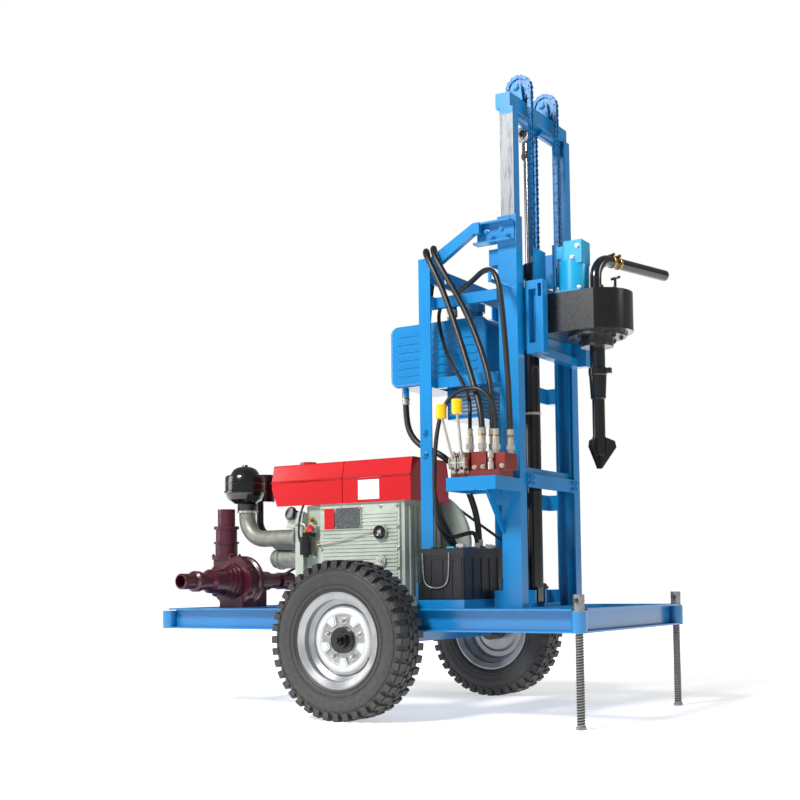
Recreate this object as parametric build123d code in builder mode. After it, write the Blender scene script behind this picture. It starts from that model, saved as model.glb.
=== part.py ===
"""Trailer-mounted water well drilling rig: two-wheel frame, diesel engine, mud pump, mast and rotary head.

Millimetres. X runs along the frame toward the mast, Y across it away from the engine's service side,
Z up. The origin lies on the ground under the middle of the frame.
"""

from build123d import *
import math
import os

os.makedirs("parts", exist_ok=True)

# Wheels and axle
wheel_radius = 284
tyre_width = 145
wheel_plane_y = 567
rim_radius = 152
rim_lip = 20
rim_width = 118
dish_radius = 132
bolt_circle = 140
bolt_count = 5
hub_radius = 46
lug_count = 40
lug_depth = 7
axle_x = 50
axle_square = 50
saddle_thickness = 4

# Frame: channels on a rectangle whose corners are the jack sleeves
frame_line_x = 902
frame_line_y = 453
rail_height = 80
rail_flange = 43
rail_wall = 6
member_height = 40
sleeve_outside = 53
sleeve_bore = 43
sleeve_height = 70
jack_clearance = 0.3

# Mast: outer columns, inner columns that slide in them, and what drives them
column_x = 558
column_depth = 76
column_half_width = 256
column_flange = 50
column_wall = 6
column_top = 1814
slide_gap = 5
pad_clearance = 0.3
inner_flange = 45
inner_bottom = 840
inner_top = 2222
beam_height = 55
crossbar_z = 850
crossbar_height = 50
cylinder_x = 522
barrel_outside = 61
barrel_bore = 50
barrel_top = 1628
gland_outside = 44
gland_top = 1693
rod_diameter = 32
rod_clearance = 0.3
rod_eye_z = 2190
sprocket_teeth = 15
chain_pitch = 19.05
chain_y = 110
chain_width = 24
chain_height = 18
plate_thickness = 5
roller_diameter = 12
sprocket_width = 11
sprocket_x = 546
sprocket_z = 2334
chain_rear_end = 1745
chain_front_end = 1690

# Carriage and rotary head
carriage_bottom = 1308
carriage_top = 1575
carriage_half_width = 205
carriage_face_x = 605
spindle_x = 792
gearbox_bottom = 1392
gearbox_top = 1537
gearbox_back_x = 624
gearbox_joint_x = 832
gearbox_nose_x = 936
gearbox_half_width = 120
spindle_diameter = 56
bit_tip_z = 893
bit_top_z = 1010
water_pipe_z = 1677
water_pipe_outside = 42

# Engine
hood_left = -556
hood_split = -205
hood_right = 112
crankcase_right = 76
hood_bottom = 800
hood_top = 968
engine_near_y = -220
engine_far_y = 60
crank_x = -20
crank_z = 640
belt_y = 120

# Mud pump
pump_x = -730
pump_z = 500
volute_near_y = -270
volute_far_y = -185

# Hydraulics, post and battery
post_x = 238
post_y = 290
post_width = 50
post_depth = 40
post_wall = 5
post_top = 1690
tank_left = -20
tank_right = 410
tank_bottom = 1245
tank_height = 242
tank_half_depth = 150
shelf_left = 400
shelf_y = -445
shelf_top = 852
shelf_height = 48
battery_left = 275
battery_near_y = -425

# What follows from the sizes above
axle_z = wheel_radius
tank_top = tank_bottom + tank_height
rail_bottom = axle_z + axle_square / 2 + saddle_thickness
rail_top = rail_bottom + rail_height
rail_middle = rail_bottom + rail_height / 2
web_y = frame_line_y - rail_flange / 2
web_x = frame_line_x - rail_flange / 2
column_back = column_x - column_depth / 2
column_front = column_x + column_depth / 2
inner_half_width = column_half_width - column_wall - slide_gap
inner_depth = column_depth - 2 * column_wall - 2 * slide_gap
sprocket_radius = chain_pitch / 2 / math.sin(math.pi / sprocket_teeth)
chain_front_x = sprocket_x + sprocket_radius


def channel(web, flange, wall, toward=1):
    """Section of a channel whose web is centred on the origin and whose flanges point along local X."""
    with BuildSketch() as section:
        with Locations((toward * flange / 2, 0)):
            Rectangle(flange, web)
        with Locations((toward * (flange / 2 + wall), 0)):
            Rectangle(flange, web - 2 * wall, mode=Mode.SUBTRACT)
    return section.sketch


def block(x_range, y_range, z_range, **options):
    """A box between two values on each axis, added to the part being built."""
    centre = [(low + high) / 2 for low, high in (x_range, y_range, z_range)]
    size = [high - low for low, high in (x_range, y_range, z_range)]
    with Locations(tuple(centre)):
        return Box(*size, **options)


def round_bar(start, end, diameter, **options):
    """A round bar between two points, added to the part being built."""
    run = Vector(*end) - Vector(*start)
    across = Vector(1, 0, 0) if abs(run.Z) > 0.9 * run.length else Vector(0, 0, 1)
    plane = Plane(origin=start, x_dir=across.cross(run), z_dir=run)
    with BuildSketch(plane) as section:
        Circle(diameter / 2)
    return extrude(section.sketch, amount=run.length, **options)


def cord_radii(points):
    """Bend radius at each corner of a cord: an arc that takes up nine tenths of the shorter run's half."""
    radii = []
    for before, corner, after in zip(points, points[1:], points[2:]):
        first = Vector(*corner) - Vector(*before)
        second = Vector(*after) - Vector(*corner)
        turn = math.radians(first.get_angle(second))
        radii.append(0.45 * min(first.length, second.length) / math.tan(turn / 2))
    return radii


def cord(points, diameter):
    """A hose or cable swept along straight runs joined by arcs, added to the part being built."""
    radii = cord_radii(points)
    with BuildLine() as route:
        FilletPolyline(*points, radius=radii)
    start = Vector(*points[0])
    with BuildSketch(Plane(origin=start, z_dir=Vector(*points[1]) - start)) as section:
        Circle(diameter / 2)
    sweep(section.sketch, path=route.wires()[0])
    return radii


def save(builder, name):
    builder.part.label = name
    export_step(builder.part, f"parts/{name}.step")


# Frame: two rails, two end channels and the cross members under the machinery
cross_members = [
    # centre x, width along x
    (-730, 130),
    (-330, 60),
    (60, 60),
    (238, 60),
    (558, 110),
]
with BuildPart() as frame:
    for side in (-1, 1):
        with BuildSketch(Plane.YZ.offset(-frame_line_x)):
            with Locations((side * web_y, rail_middle)):
                add(channel(rail_height, rail_flange, rail_wall, side))
        extrude(amount=2 * frame_line_x)
    for end in (-1, 1):
        with BuildSketch(Plane.XZ.offset(-web_y)):
            with Locations((end * web_x, rail_middle)):
                add(channel(rail_height, rail_flange, rail_wall, end))
        extrude(amount=2 * web_y)
    for centre_x, width in cross_members:
        block(
            (centre_x - width / 2, centre_x + width / 2),
            (-web_y, web_y),
            (rail_top - member_height, rail_top),
        )
        block(
            (centre_x - width / 2 + rail_wall, centre_x + width / 2 - rail_wall),
            (-web_y + rail_wall, web_y - rail_wall),
            (rail_top - member_height, rail_top - rail_wall),
            mode=Mode.SUBTRACT,
        )
    with Locations(*[(x, y, rail_middle) for x in (-frame_line_x, frame_line_x)
                     for y in (-frame_line_y, frame_line_y)]):
        Cylinder(sleeve_outside / 2, rail_height + 2, mode=Mode.SUBTRACT)
save(frame, "frame")

# Sleeves at the corners: the left pair is empty, the right pair holds the screw jacks
for name, sleeve_x in (("sleeves_left", -frame_line_x), ("sleeves_right", frame_line_x)):
    with BuildPart() as sleeves:
        with Locations(*[(sleeve_x, y, rail_bottom + sleeve_height / 2) for y in (-frame_line_y, frame_line_y)]):
            Cylinder(sleeve_outside / 2, sleeve_height)
            Cylinder(sleeve_bore / 2, sleeve_height, mode=Mode.SUBTRACT)
    save(sleeves, name)

# Screw jacks in the right sleeves: a pipe head with a cross hole on a screw that stands on the ground
jack_head = 38
jack_head_top = rail_bottom + sleeve_height + 57
jack_screw = 24
jack_foot = 34
with BuildPart() as jacks:
    for side in (-1, 1):
        with Locations((frame_line_x, side * frame_line_y, 0)):
            Cylinder(jack_foot / 2, 10, align=(Align.CENTER, Align.CENTER, Align.MIN))
            Cylinder(jack_screw / 2, jack_head_top - 30, align=(Align.CENTER, Align.CENTER, Align.MIN))
        with Locations((frame_line_x, side * frame_line_y, rail_bottom + 8)):
            Cylinder(
                sleeve_bore / 2 - jack_clearance,
                sleeve_height - 8,
                align=(Align.CENTER, Align.CENTER, Align.MIN),
            )
        with Locations((frame_line_x, side * frame_line_y, rail_bottom + sleeve_height + 0.3)):
            Cylinder(sleeve_outside / 2 - 2, 5, align=(Align.CENTER, Align.CENTER, Align.MIN))
        with Locations((frame_line_x, side * frame_line_y, rail_bottom + sleeve_height)):
            Cylinder(jack_head / 2, 57, align=(Align.CENTER, Align.CENTER, Align.MIN))
        with Locations((frame_line_x, side * frame_line_y, jack_head_top - 20)):
            Cylinder(8, jack_head + 2, rotation=(90, 0, 0), mode=Mode.SUBTRACT)
save(jacks, "screw_jacks")

# Axle: a square beam with saddles against the rails and round stubs for the hubs
with BuildPart() as axle:
    block(
        (axle_x - axle_square / 2, axle_x + axle_square / 2),
        (-frame_line_y - 20, frame_line_y + 20),
        (axle_z - axle_square / 2, axle_z + axle_square / 2),
    )
    for side in (-1, 1):
        block(
            (axle_x - 45, axle_x + 45),
            (side * frame_line_y - 21, side * frame_line_y + 21),
            (axle_z + axle_square / 2, rail_bottom),
        )
    round_bar((axle_x, -wheel_plane_y - 12, axle_z), (axle_x, wheel_plane_y + 12, axle_z), 34)
save(axle, "axle")

# Tyres: a carcass turned about the axle with shoulder lugs on both edges
half_tyre = tyre_width / 2
carcass = wheel_radius - lug_depth
for name, side in (("tyre_near", -1), ("tyre_far", 1)):
    wheel_plane = Plane(origin=(axle_x, side * wheel_plane_y, axle_z), x_dir=(1, 0, 0), z_dir=(0, side, 0))
    with BuildPart() as tyre:
        with BuildSketch(Plane(origin=wheel_plane.origin, x_dir=(1, 0, 0), z_dir=(0, 0, 1))):
            with BuildLine():
                Polyline(
                    (rim_radius + 0.3, -rim_width / 2 + 13),
                    (rim_radius + rim_lip + 0.5, -rim_width / 2 + 6),
                    (rim_radius + rim_lip + 0.5, -rim_width / 2 - 1),
                    (rim_radius + 34, -half_tyre + 4),
                    (rim_radius + 62, -half_tyre),
                )
                ThreePointArc(
                    (rim_radius + 62, -half_tyre),
                    (wheel_radius - 34, -half_tyre + 2),
                    (wheel_radius - 22, -half_tyre + 10),
                )
                Polyline((wheel_radius - 22, -half_tyre + 10), (carcass, -half_tyre + 26), (carcass, 0))
                Line((carcass, 0), (carcass, half_tyre - 26))
                Line((carcass, half_tyre - 26), (wheel_radius - 22, half_tyre - 10))
                ThreePointArc(
                    (wheel_radius - 22, half_tyre - 10),
                    (wheel_radius - 34, half_tyre - 2),
                    (rim_radius + 62, half_tyre),
                )
                Polyline(
                    (rim_radius + 62, half_tyre),
                    (rim_radius + 34, half_tyre - 4),
                    (rim_radius + rim_lip + 0.5, rim_width / 2 + 1),
                    (rim_radius + rim_lip + 0.5, rim_width / 2 - 6),
                    (rim_radius + 0.3, rim_width / 2 - 13),
                    (rim_radius + 0.3, -rim_width / 2 + 13),
                )
            make_face()
        revolve(axis=Axis((axle_x, side * wheel_plane_y, axle_z), (0, 1, 0)))
        for edge in (-1, 1):
            lug_plane = Plane(
                origin=(axle_x, side * wheel_plane_y + edge * (half_tyre - 26), axle_z),
                x_dir=(1, 0, 0),
                z_dir=(0, 1, 0),
            )
            with BuildSketch(lug_plane):
                with PolarLocations(carcass + lug_depth / 2 - 4, lug_count, start_angle=4.5 * (edge + 1) / 2):
                    Rectangle(lug_depth + 8, 25)
            extrude(amount=19, both=True)
    save(tyre, name)

# Wheels: a turned rim with a dished disc, five bolt holes, hub and cap
for name, side in (("wheel_near", -1), ("wheel_far", 1)):
    origin = (axle_x, side * wheel_plane_y, axle_z)
    with BuildPart() as wheel:
        with BuildSketch(Plane(origin=origin, x_dir=(1, 0, 0), z_dir=(0, 0, side))):
            # rim section, then the disc; local Y runs outward from the wheel's middle plane
            with BuildLine():
                Polyline(
                    (rim_radius + rim_lip, rim_width / 2),
                    (rim_radius + rim_lip, rim_width / 2 - 5),
                    (rim_radius, rim_width / 2 - 11),
                    (rim_radius, 22),
                    (rim_radius - 18, 12),
                    (rim_radius - 18, -12),
                    (rim_radius, -22),
                    (rim_radius, -rim_width / 2 + 11),
                    (rim_radius + rim_lip, -rim_width / 2 + 5),
                    (rim_radius + rim_lip, -rim_width / 2),
                    (rim_radius + rim_lip - 6, -rim_width / 2),
                    (rim_radius - 6, -rim_width / 2 + 8),
                    (rim_radius - 6, -25),
                    (rim_radius - 24, -15),
                    (rim_radius - 24, 15),
                    (rim_radius - 6, 25),
                    (rim_radius - 6, rim_width / 2 - 8),
                    (rim_radius + rim_lip - 6, rim_width / 2),
                    close=True,
                )
            make_face()
        revolve(axis=Axis(origin, (0, 1, 0)))
        with BuildSketch(Plane(origin=origin, x_dir=(1, 0, 0), z_dir=(0, 0, side))):
            with BuildLine():
                Polyline(
                    (0, 12),
                    (bolt_circle / 2 + 18, 12),
                    (dish_radius - 22, 22),
                    (dish_radius - 8, 18),
                    (rim_radius - 20, 2),
                    (rim_radius - 20, -4),
                    (dish_radius - 12, 12),
                    (dish_radius - 22, 16),
                    (bolt_circle / 2 + 19, 6),
                    (0, 6),
                    close=True,
                )
            make_face()
        revolve(axis=Axis(origin, (0, 1, 0)))
        for radius, depth_in, depth_out in ((hub_radius, -60, 30), (30, 30, 44), (19, 44, 62), (12, 62, 72)):
            start = (axle_x, side * (wheel_plane_y + depth_in), axle_z)
            end = (axle_x, side * (wheel_plane_y + depth_out), axle_z)
            round_bar(start, end, 2 * radius)
        with BuildSketch(Plane(origin=(axle_x, side * (wheel_plane_y + 12), axle_z), x_dir=(1, 0, 0),
                               z_dir=(0, side, 0))):
            with PolarLocations(bolt_circle / 2, bolt_count, start_angle=90):
                RegularPolygon(9.5, 6)
        extrude(amount=12)
        round_bar(
            (axle_x, side * (wheel_plane_y - 61), axle_z),
            (axle_x, side * (wheel_plane_y + 13), axle_z),
            34.6,
            mode=Mode.SUBTRACT,
        )
    save(wheel, name)

# Engine: crankcase with feet, side cover and bosses
with BuildPart() as crankcase:
    block((-322, crankcase_right), (engine_near_y + 12, engine_far_y), (rail_top + 24, hood_bottom))
    for foot_y in (engine_near_y + 30, engine_far_y - 40):
        block((-360, 100), (foot_y - 24, foot_y + 24), (rail_top, rail_top + 24))
    block((-312, crankcase_right - 16), (engine_near_y, engine_near_y + 12), (rail_top + 60, hood_bottom - 10))
    rib_rows = [rail_top + 84 + 14.5 * row for row in range(20)]
    for rib_z in rib_rows:
        block((-300, crankcase_right - 26), (engine_near_y - 4, engine_near_y), (rib_z, rib_z + 6))
    for rib_y in range(engine_near_y + 40, engine_far_y - 10, 34):
        block((crankcase_right, crankcase_right + 8), (rib_y, rib_y + 10), (rail_top + 40, hood_bottom - 20))
    for boss_x, boss_z, radius, length in ((crank_x, 680, 30, 16), (crank_x, 570, 22, 14)):
        round_bar((boss_x, engine_near_y, boss_z), (boss_x, engine_near_y - length, boss_z), 2 * radius)
    block((-245, -130), (engine_near_y - 7, engine_near_y), (700, 765))
save(crankcase, "engine_crankcase")

with BuildPart() as head:
    block((-400, -322), (-190, 20), (470, hood_bottom - 2))
    block((-440, -400), (-218, 5), (500, 770))
    round_bar((-440, -85, 700), (-462, -85, 700), 90)
    round_bar((-420, -190, 755), (-420, -214, 755), 46)
    round_bar((-322 - 30, -190, 705), (-322 - 30, -222, 705), 34)
save(head, "cylinder_head")

# Hood: a fuel tank and a hopper cover with a belt-line seam, chamfered where they slope in
hood_near = engine_near_y
hood_far = 66
seam_z = 898
hood_section = [
    (hood_near, hood_bottom),
    (hood_near, seam_z - 5),
    (hood_near - 8, seam_z),
    (hood_near, seam_z + 6),
    (hood_near + 15, hood_top),
    (hood_far - 15, hood_top),
    (hood_far, seam_z + 6),
    (hood_far + 8, seam_z),
    (hood_far, seam_z - 5),
    (hood_far, hood_bottom),
]
for name, left, right in (("fuel_tank", hood_left, hood_split - 1.5), ("hopper_cover", hood_split + 1.5, hood_right)):
    with BuildPart() as hood:
        with BuildSketch(Plane.YZ.offset(left)):
            with BuildLine():
                Polyline(*hood_section, close=True)
            make_face()
        extrude(amount=right - left)
        block(
            (left + 3, right - 3),
            (hood_near + 16, hood_far - 16),
            (hood_bottom + 3, hood_top - 4),
            mode=Mode.SUBTRACT,
        )
        if name == "fuel_tank":
            with BuildSketch(Plane.XZ.offset(-hood_far - 10)):
                with BuildLine():
                    Polyline((left, hood_bottom), (left + 26, hood_bottom), (left, hood_bottom + 70), close=True)
                make_face()
            extrude(amount=hood_far - hood_near + 20, mode=Mode.SUBTRACT)
            with Locations((left + 80, (hood_near + hood_far) / 2, hood_top)):
                Cylinder(34, 20, align=(Align.CENTER, Align.CENTER, Align.MIN))
        fillet(hood.edges().filter_by(Axis.X).group_by(Axis.Z)[-1], 8)
    save(hood, name)

# Injection side: fuel valve with its cap, filter bowl and pipes
with BuildPart() as fuel_filter:
    round_bar((-372, -236, 600), (-372, -236, 672), 50)
    round_bar((-372, -236, 672), (-372, -236, 690), 30)
    block((-384, -360), (-236, -190), (674, 690))
    round_bar((-372, -236, 590), (-372, -236, 600), 26)
save(fuel_filter, "fuel_filter")

# Air cleaner: a drum with a flange, a clip ring and a domed lid, turned in one profile
air_x = -738
air_y = -190
with BuildPart() as air_cleaner:
    with BuildSketch(Plane(origin=(air_x, air_y, 0), x_dir=(1, 0, 0), z_dir=(0, -1, 0))):
        with BuildLine():
            Polyline((0, 820), (59, 820), (60, 866), (75, 868), (75, 874), (72, 876), (72, 930), (75, 932),
                     (75, 938), (55, 942))
            ThreePointArc((55, 942), (36, 963), (10, 972))
            Polyline((10, 972), (10, 985), (0, 985), (0, 820))
        make_face()
    revolve(axis=Axis((air_x, air_y, 0), (0, 0, 1)))
save(air_cleaner, "air_cleaner")

# Intake elbow from the air cleaner's collar to the head
elbow_x = air_x + 28
elbow_z = 673
with BuildPart() as intake:
    with BuildLine() as run:
        FilletPolyline((elbow_x, air_y, 800), (elbow_x, air_y, elbow_z), (-440, air_y, elbow_z), radius=90)
    with BuildSketch(Plane(origin=(elbow_x, air_y, 800), z_dir=(0, 0, -1))):
        Circle(34)
    sweep(path=run.wires()[0])
    with Locations((elbow_x, air_y, 809)):
        Cylinder(38, 22)
    round_bar((-452, air_y, elbow_z), (-440, air_y, elbow_z), 84)
save(intake, "intake_elbow")

# Silencer on its pipe behind the air cleaner
silencer_x = -722
with BuildPart() as muffler:
    round_bar((silencer_x, -60, 835), (silencer_x, -60, 950), 84)
    cord([(-462, -60, 690), (silencer_x - 26, -60, 690), (silencer_x - 26, -60, 836)], 30)
save(muffler, "silencer")

# Flywheel with its belt grooves on the far side
with BuildPart() as flywheel:
    with BuildSketch(Plane(origin=(crank_x, 0, crank_z), x_dir=(1, 0, 0), z_dir=(0, 0, 1))):
        with BuildLine():
            Polyline(
                (0, engine_far_y), (40, engine_far_y), (40, 78), (195, 78), (215, 82), (215, 102), (190, 104),
                (190, 136), (150, 136), (150, 96), (70, 96), (70, 140), (0, 140), (0, engine_far_y),
            )
        make_face()
    revolve(axis=Axis((crank_x, 0, crank_z), (0, 1, 0)))
save(flywheel, "flywheel")

# Hydraulic pump behind the battery and the belts to both pumps
hyd_x = 330
hyd_z = 560
with BuildPart() as hydraulic_pump:
    block((hyd_x - 55, hyd_x + 55), (-75, 60), (hyd_z - 60, hyd_z + 60))
    block((hyd_x - 40, hyd_x + 40), (-120, -75), (hyd_z - 45, hyd_z + 45))
    round_bar((hyd_x, 60, hyd_z), (hyd_x, belt_y + 16, hyd_z), 36)
    round_bar((hyd_x, belt_y - 16, hyd_z), (hyd_x, belt_y + 16, hyd_z), 120)
    block((hyd_x - 80, hyd_x + 80), (-60, 45), (rail_top, rail_top + 12))
    block((hyd_x - 30, hyd_x + 30), (-50, 35), (rail_top + 12, hyd_z - 60))
save(hydraulic_pump, "hydraulic_pump")

belt_runs = [
    # name, far pulley x, far pulley z, far pulley radius, belt plane y
    ("belt_to_hydraulic_pump", hyd_x, hyd_z, 60, 128),
    ("belt_to_mud_pump", pump_x, pump_z, 30, 112),
]
flywheel_groove = 190
for name, far_x, far_z, far_radius, plane_y in belt_runs:
    with BuildPart() as belt:
        run = Vector(far_x - crank_x, far_z - crank_z)
        heading = math.atan2(run.Y, run.X)
        lean = math.acos((flywheel_groove - far_radius) / run.length)
        with BuildSketch(Plane.XZ.offset(-plane_y)):
            for grow, mode in ((9, Mode.ADD), (1, Mode.SUBTRACT)):
                with Locations((crank_x, crank_z)):
                    Circle(flywheel_groove + grow, mode=mode)
                with Locations((far_x, far_z)):
                    Circle(far_radius + grow, mode=mode)
                corners = []
                for sign in (1, -1):
                    angle = heading + sign * lean
                    out = Vector(math.cos(angle), math.sin(angle))
                    corners.append(Vector(crank_x, crank_z) + out * (flywheel_groove + grow))
                    corners.append(Vector(far_x, far_z) + out * (far_radius + grow))
                with BuildLine():
                    Polyline(corners[0], corners[1], corners[3], corners[2], close=True)
                make_face(mode=mode)
        extrude(amount=6, both=True)
    save(belt, name)

# Mud pump: volute with ears, inlet stub, discharge pipe, bearing housing and foot in one casting
discharge_x = pump_x - 62
discharge_y = (volute_near_y + volute_far_y) / 2
with BuildPart() as mud_pump:
    with BuildSketch(Plane(origin=(pump_x, 0, pump_z), x_dir=(1, 0, 0), z_dir=(0, 0, 1))):
        with BuildLine():
            Polyline(
                (0, -576), (27, -576), (31, -572), (31, -505), (41, -498), (41, -474), (36, -468), (36, -420),
                (48, -405), (52, -340), (74, volute_near_y), (104, volute_near_y), (104, volute_near_y + 16),
                (94, volute_near_y + 20), (94, volute_far_y - 22), (104, volute_far_y - 16), (104, volute_far_y),
                (60, volute_far_y), (46, -160), (40, -40), (32, -40), (32, 15), (0, 15), (0, -576),
            )
        make_face()
    revolve(axis=Axis((pump_x, 0, pump_z), (0, 1, 0)))
    round_bar((pump_x, -578, pump_z), (pump_x, -505, pump_z), 48, mode=Mode.SUBTRACT)
    for ring in (58, 65, 72, 79):
        with BuildSketch(Plane.XZ.offset(-(volute_near_y - 2 - 2.6 * (79 - ring)))):
            with Locations((pump_x, pump_z)):
                Circle(ring)
        extrude(amount=-9)
    block((discharge_x - 40, discharge_x + 40), (discharge_y - 36, discharge_y + 36), (pump_z - 10, 590))
    for low, high, radius in ((590, 604, 60), (604, 655, 46), (655, 664, 52), (664, 715, 44), (715, 728, 52),
                              (728, 799, 36)):
        round_bar((discharge_x, discharge_y, low), (discharge_x, discharge_y, high), 2 * radius)
    block((pump_x - 60, pump_x + 60), (volute_near_y - 4, volute_far_y + 8), (rail_top, pump_z - 60))
    block((pump_x - 40, pump_x + 40), (-150, -90), (rail_top, pump_z - 30))
    for ear in range(6):
        angle = math.radians(60 * ear + 30)
        ear_x = pump_x + 104 * math.cos(angle)
        ear_z = pump_z + 104 * math.sin(angle)
        if ear_z > pump_z - 60:
            round_bar((ear_x, volute_near_y, ear_z), (ear_x, volute_near_y + 16, ear_z), 22)
save(mud_pump, "mud_pump")

with BuildPart() as pump_pulley:
    with BuildSketch(Plane(origin=(pump_x, 0, pump_z), x_dir=(1, 0, 0), z_dir=(0, 0, 1))):
        with BuildLine():
            Polyline((0, 15), (24, 15), (24, 36), (36, 38), (36, 99), (30, 104), (30, 120), (36, 125), (0, 125), (0, 15))
        make_face()
    revolve(axis=Axis((pump_x, 0, pump_z), (0, 1, 0)))
save(pump_pulley, "mud_pump_pulley")

# Posts with their top beam and the braces up to the mast
with BuildPart() as posts:
    for side in (-1, 1):
        near, far = sorted((side * (post_y + post_depth / 2 - post_wall), side * (post_y + post_depth / 2)))
        block((post_x - post_width / 2, post_x + post_width / 2), (near, far), (rail_top, post_top))
        near, far = sorted((side * (post_y - post_depth / 2 - 5), side * (post_y + post_depth / 2)))
        block((post_x - post_width / 2, post_x - post_width / 2 + post_wall), (near, far), (rail_top, post_top))
        near, far = sorted((side * 269, side * 306))
        for low in (tank_bottom - 40, tank_top + 20):
            block((post_x - post_width / 2, column_back), (side * 258 - 12, side * 258 + 12), (low, low + 40))
            block((post_x - post_width / 2, post_x + post_width / 2), (near, far), (low, low + 40))
        with BuildSketch(Plane.XZ.offset(-side * (post_y + 3))):
            with BuildLine():
                Polyline((post_x + 10, post_top - 62), (post_x + 10, post_top - 8), (post_x + 20, post_top),
                         (445, 1792), (470, 1792), (470, 1752), (448, 1752), close=True)
            make_face()
        extrude(amount=12, both=True)
        with BuildSketch(Plane.YZ.offset(440)):
            with Locations((side * column_half_width, 1752)):
                add(channel(78, 42, 7, side))
        extrude(amount=column_front - 6 - 440)
    block((post_x - 20, post_x + 20), (-post_y + 20, post_y - 20), (tank_bottom - 40, tank_bottom))
    block((400, 440), (-250, 250), (tank_bottom - 40, tank_bottom))
    block((post_x + 5, post_x + 15), (-post_y - 15, post_y + 15), (1600, 1665))
    round_bar((post_x, -170, 1632), (post_x + 20, -170, 1632), 30, mode=Mode.SUBTRACT)
save(posts, "mast_support")

tie_x = 478
# Outer mast: two columns with guide pads, a foot plate, ties behind and the bolted bar in front
with BuildPart() as mast_outer:
    for side in (-1, 1):
        with BuildSketch(Plane.XY.offset(rail_top)):
            with BuildLine():
                web = side * column_half_width
                tip = side * (column_half_width - column_flange)
                skin = side * (column_half_width - column_wall)
                Polyline(
                    (column_back, web), (column_front, web), (column_front, tip),
                    (column_front - column_wall, tip), (column_front - column_wall, skin),
                    (column_back + column_wall, skin), (column_back + column_wall, tip), (column_back, tip),
                    close=True,
                )
            make_face()
        extrude(amount=column_top - rail_top)
        pad_near, pad_far = sorted((side * 235, side * 208))
        for pad_z in (1450, 1770):
            pad = slide_gap - pad_clearance
            for low in (column_back + column_wall, column_front - column_wall - pad):
                block((low, low + pad), (pad_near, pad_far), (pad_z, pad_z + 40))
            pad_in, pad_out = sorted((side * (column_half_width - column_wall - pad),
                                      side * (column_half_width - column_wall)))
            block((column_x - 15, column_x + 15), (pad_in, pad_out), (pad_z, pad_z + 40))
    for tie_z in (rail_top, 760, 1180, 1640):
        block((tie_x, tie_x + 8), (-245, 245), (tie_z, tie_z + 60))
        for side in (-1, 1):
            packer_near, packer_far = sorted((side * (column_half_width - column_flange), side * 245))
            block((tie_x, column_back), (packer_near, packer_far), (tie_z, tie_z + 60))
    block(
        (column_front - column_wall, column_front + 6),
        (-(column_half_width - column_flange), column_half_width - column_flange),
        (crossbar_z - crossbar_height / 2, crossbar_z + crossbar_height / 2),
    )
    block((tie_x + 8, column_front - 6), (-70, 70), (rail_top, rail_top + 12))
    for lug_y in (-48, 36):
        block((cylinder_x - 22, cylinder_x + 22), (lug_y, lug_y + 12), (rail_top + 12, rail_top + 60))
    for anchor_y in (-chain_y, chain_y):
        block(
            (tie_x + 2, sprocket_x - sprocket_radius + 14),
            (anchor_y - 20, anchor_y + 20),
            (1660, 1680),
        )
        round_bar((sprocket_x - sprocket_radius, anchor_y, 1680),
                  (sprocket_x - sprocket_radius, anchor_y, chain_rear_end - 0.3), 12)
save(mast_outer, "mast_outer")

# Hose hook: a bent bar on the near column
with BuildPart() as hose_hook_bar:
    round_bar((565, -column_half_width, 1545), (565, -404, 1545), 14)
    round_bar((565, -404, 1538), (565, -404, 1572), 14)
save(hose_hook_bar, "hose_hook_bar")

# Lift cylinder: barrel with its foot eye, gland and clamp band
with BuildPart() as lift_barrel:
    round_bar((cylinder_x, 0, rail_top + 70), (cylinder_x, 0, barrel_top), barrel_outside)
    round_bar((cylinder_x, 0, barrel_top), (cylinder_x, 0, gland_top), gland_outside)
    round_bar((cylinder_x, 0, 1010), (cylinder_x, 0, 1014), barrel_outside + 5)
    block((cylinder_x - 22, cylinder_x + 22), (-22, 22), (rail_top + 16, rail_top + 70))
    round_bar((cylinder_x, 0, rail_top + 90), (cylinder_x, 0, barrel_top - 15), barrel_bore, mode=Mode.SUBTRACT)
    round_bar((cylinder_x, 0, barrel_top - 20), (cylinder_x, 0, gland_top + 1),
              rod_diameter + 2 * rod_clearance, mode=Mode.SUBTRACT)
    round_bar((cylinder_x, -36, rail_top + 36), (cylinder_x, 36, rail_top + 36), 20)
    for port_z in (rail_top + 110, barrel_top - 50):
        round_bar((cylinder_x - barrel_outside / 2 + 2, 0, port_z), (cylinder_x - barrel_outside / 2 - 16, 0, port_z), 22)
save(lift_barrel, "lift_barrel")

# Rod with its piston and eye, carried up by the oil and pinned to the inner mast
with BuildPart() as lift_rod:
    round_bar((cylinder_x, 0, 1130), (cylinder_x, 0, rod_eye_z - 24), rod_diameter)
    round_bar((cylinder_x, 0, 1130), (cylinder_x, 0, 1170), barrel_bore - 2 * rod_clearance)
    round_bar((cylinder_x, 0, rod_eye_z - 76), (cylinder_x, 0, rod_eye_z - 26), 42)
    round_bar((cylinder_x, -16, rod_eye_z), (cylinder_x, 16, rod_eye_z), 56)
    round_bar((cylinder_x, -17, rod_eye_z), (cylinder_x, 17, rod_eye_z), 26, mode=Mode.SUBTRACT)
save(lift_rod, "lift_rod")

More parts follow.
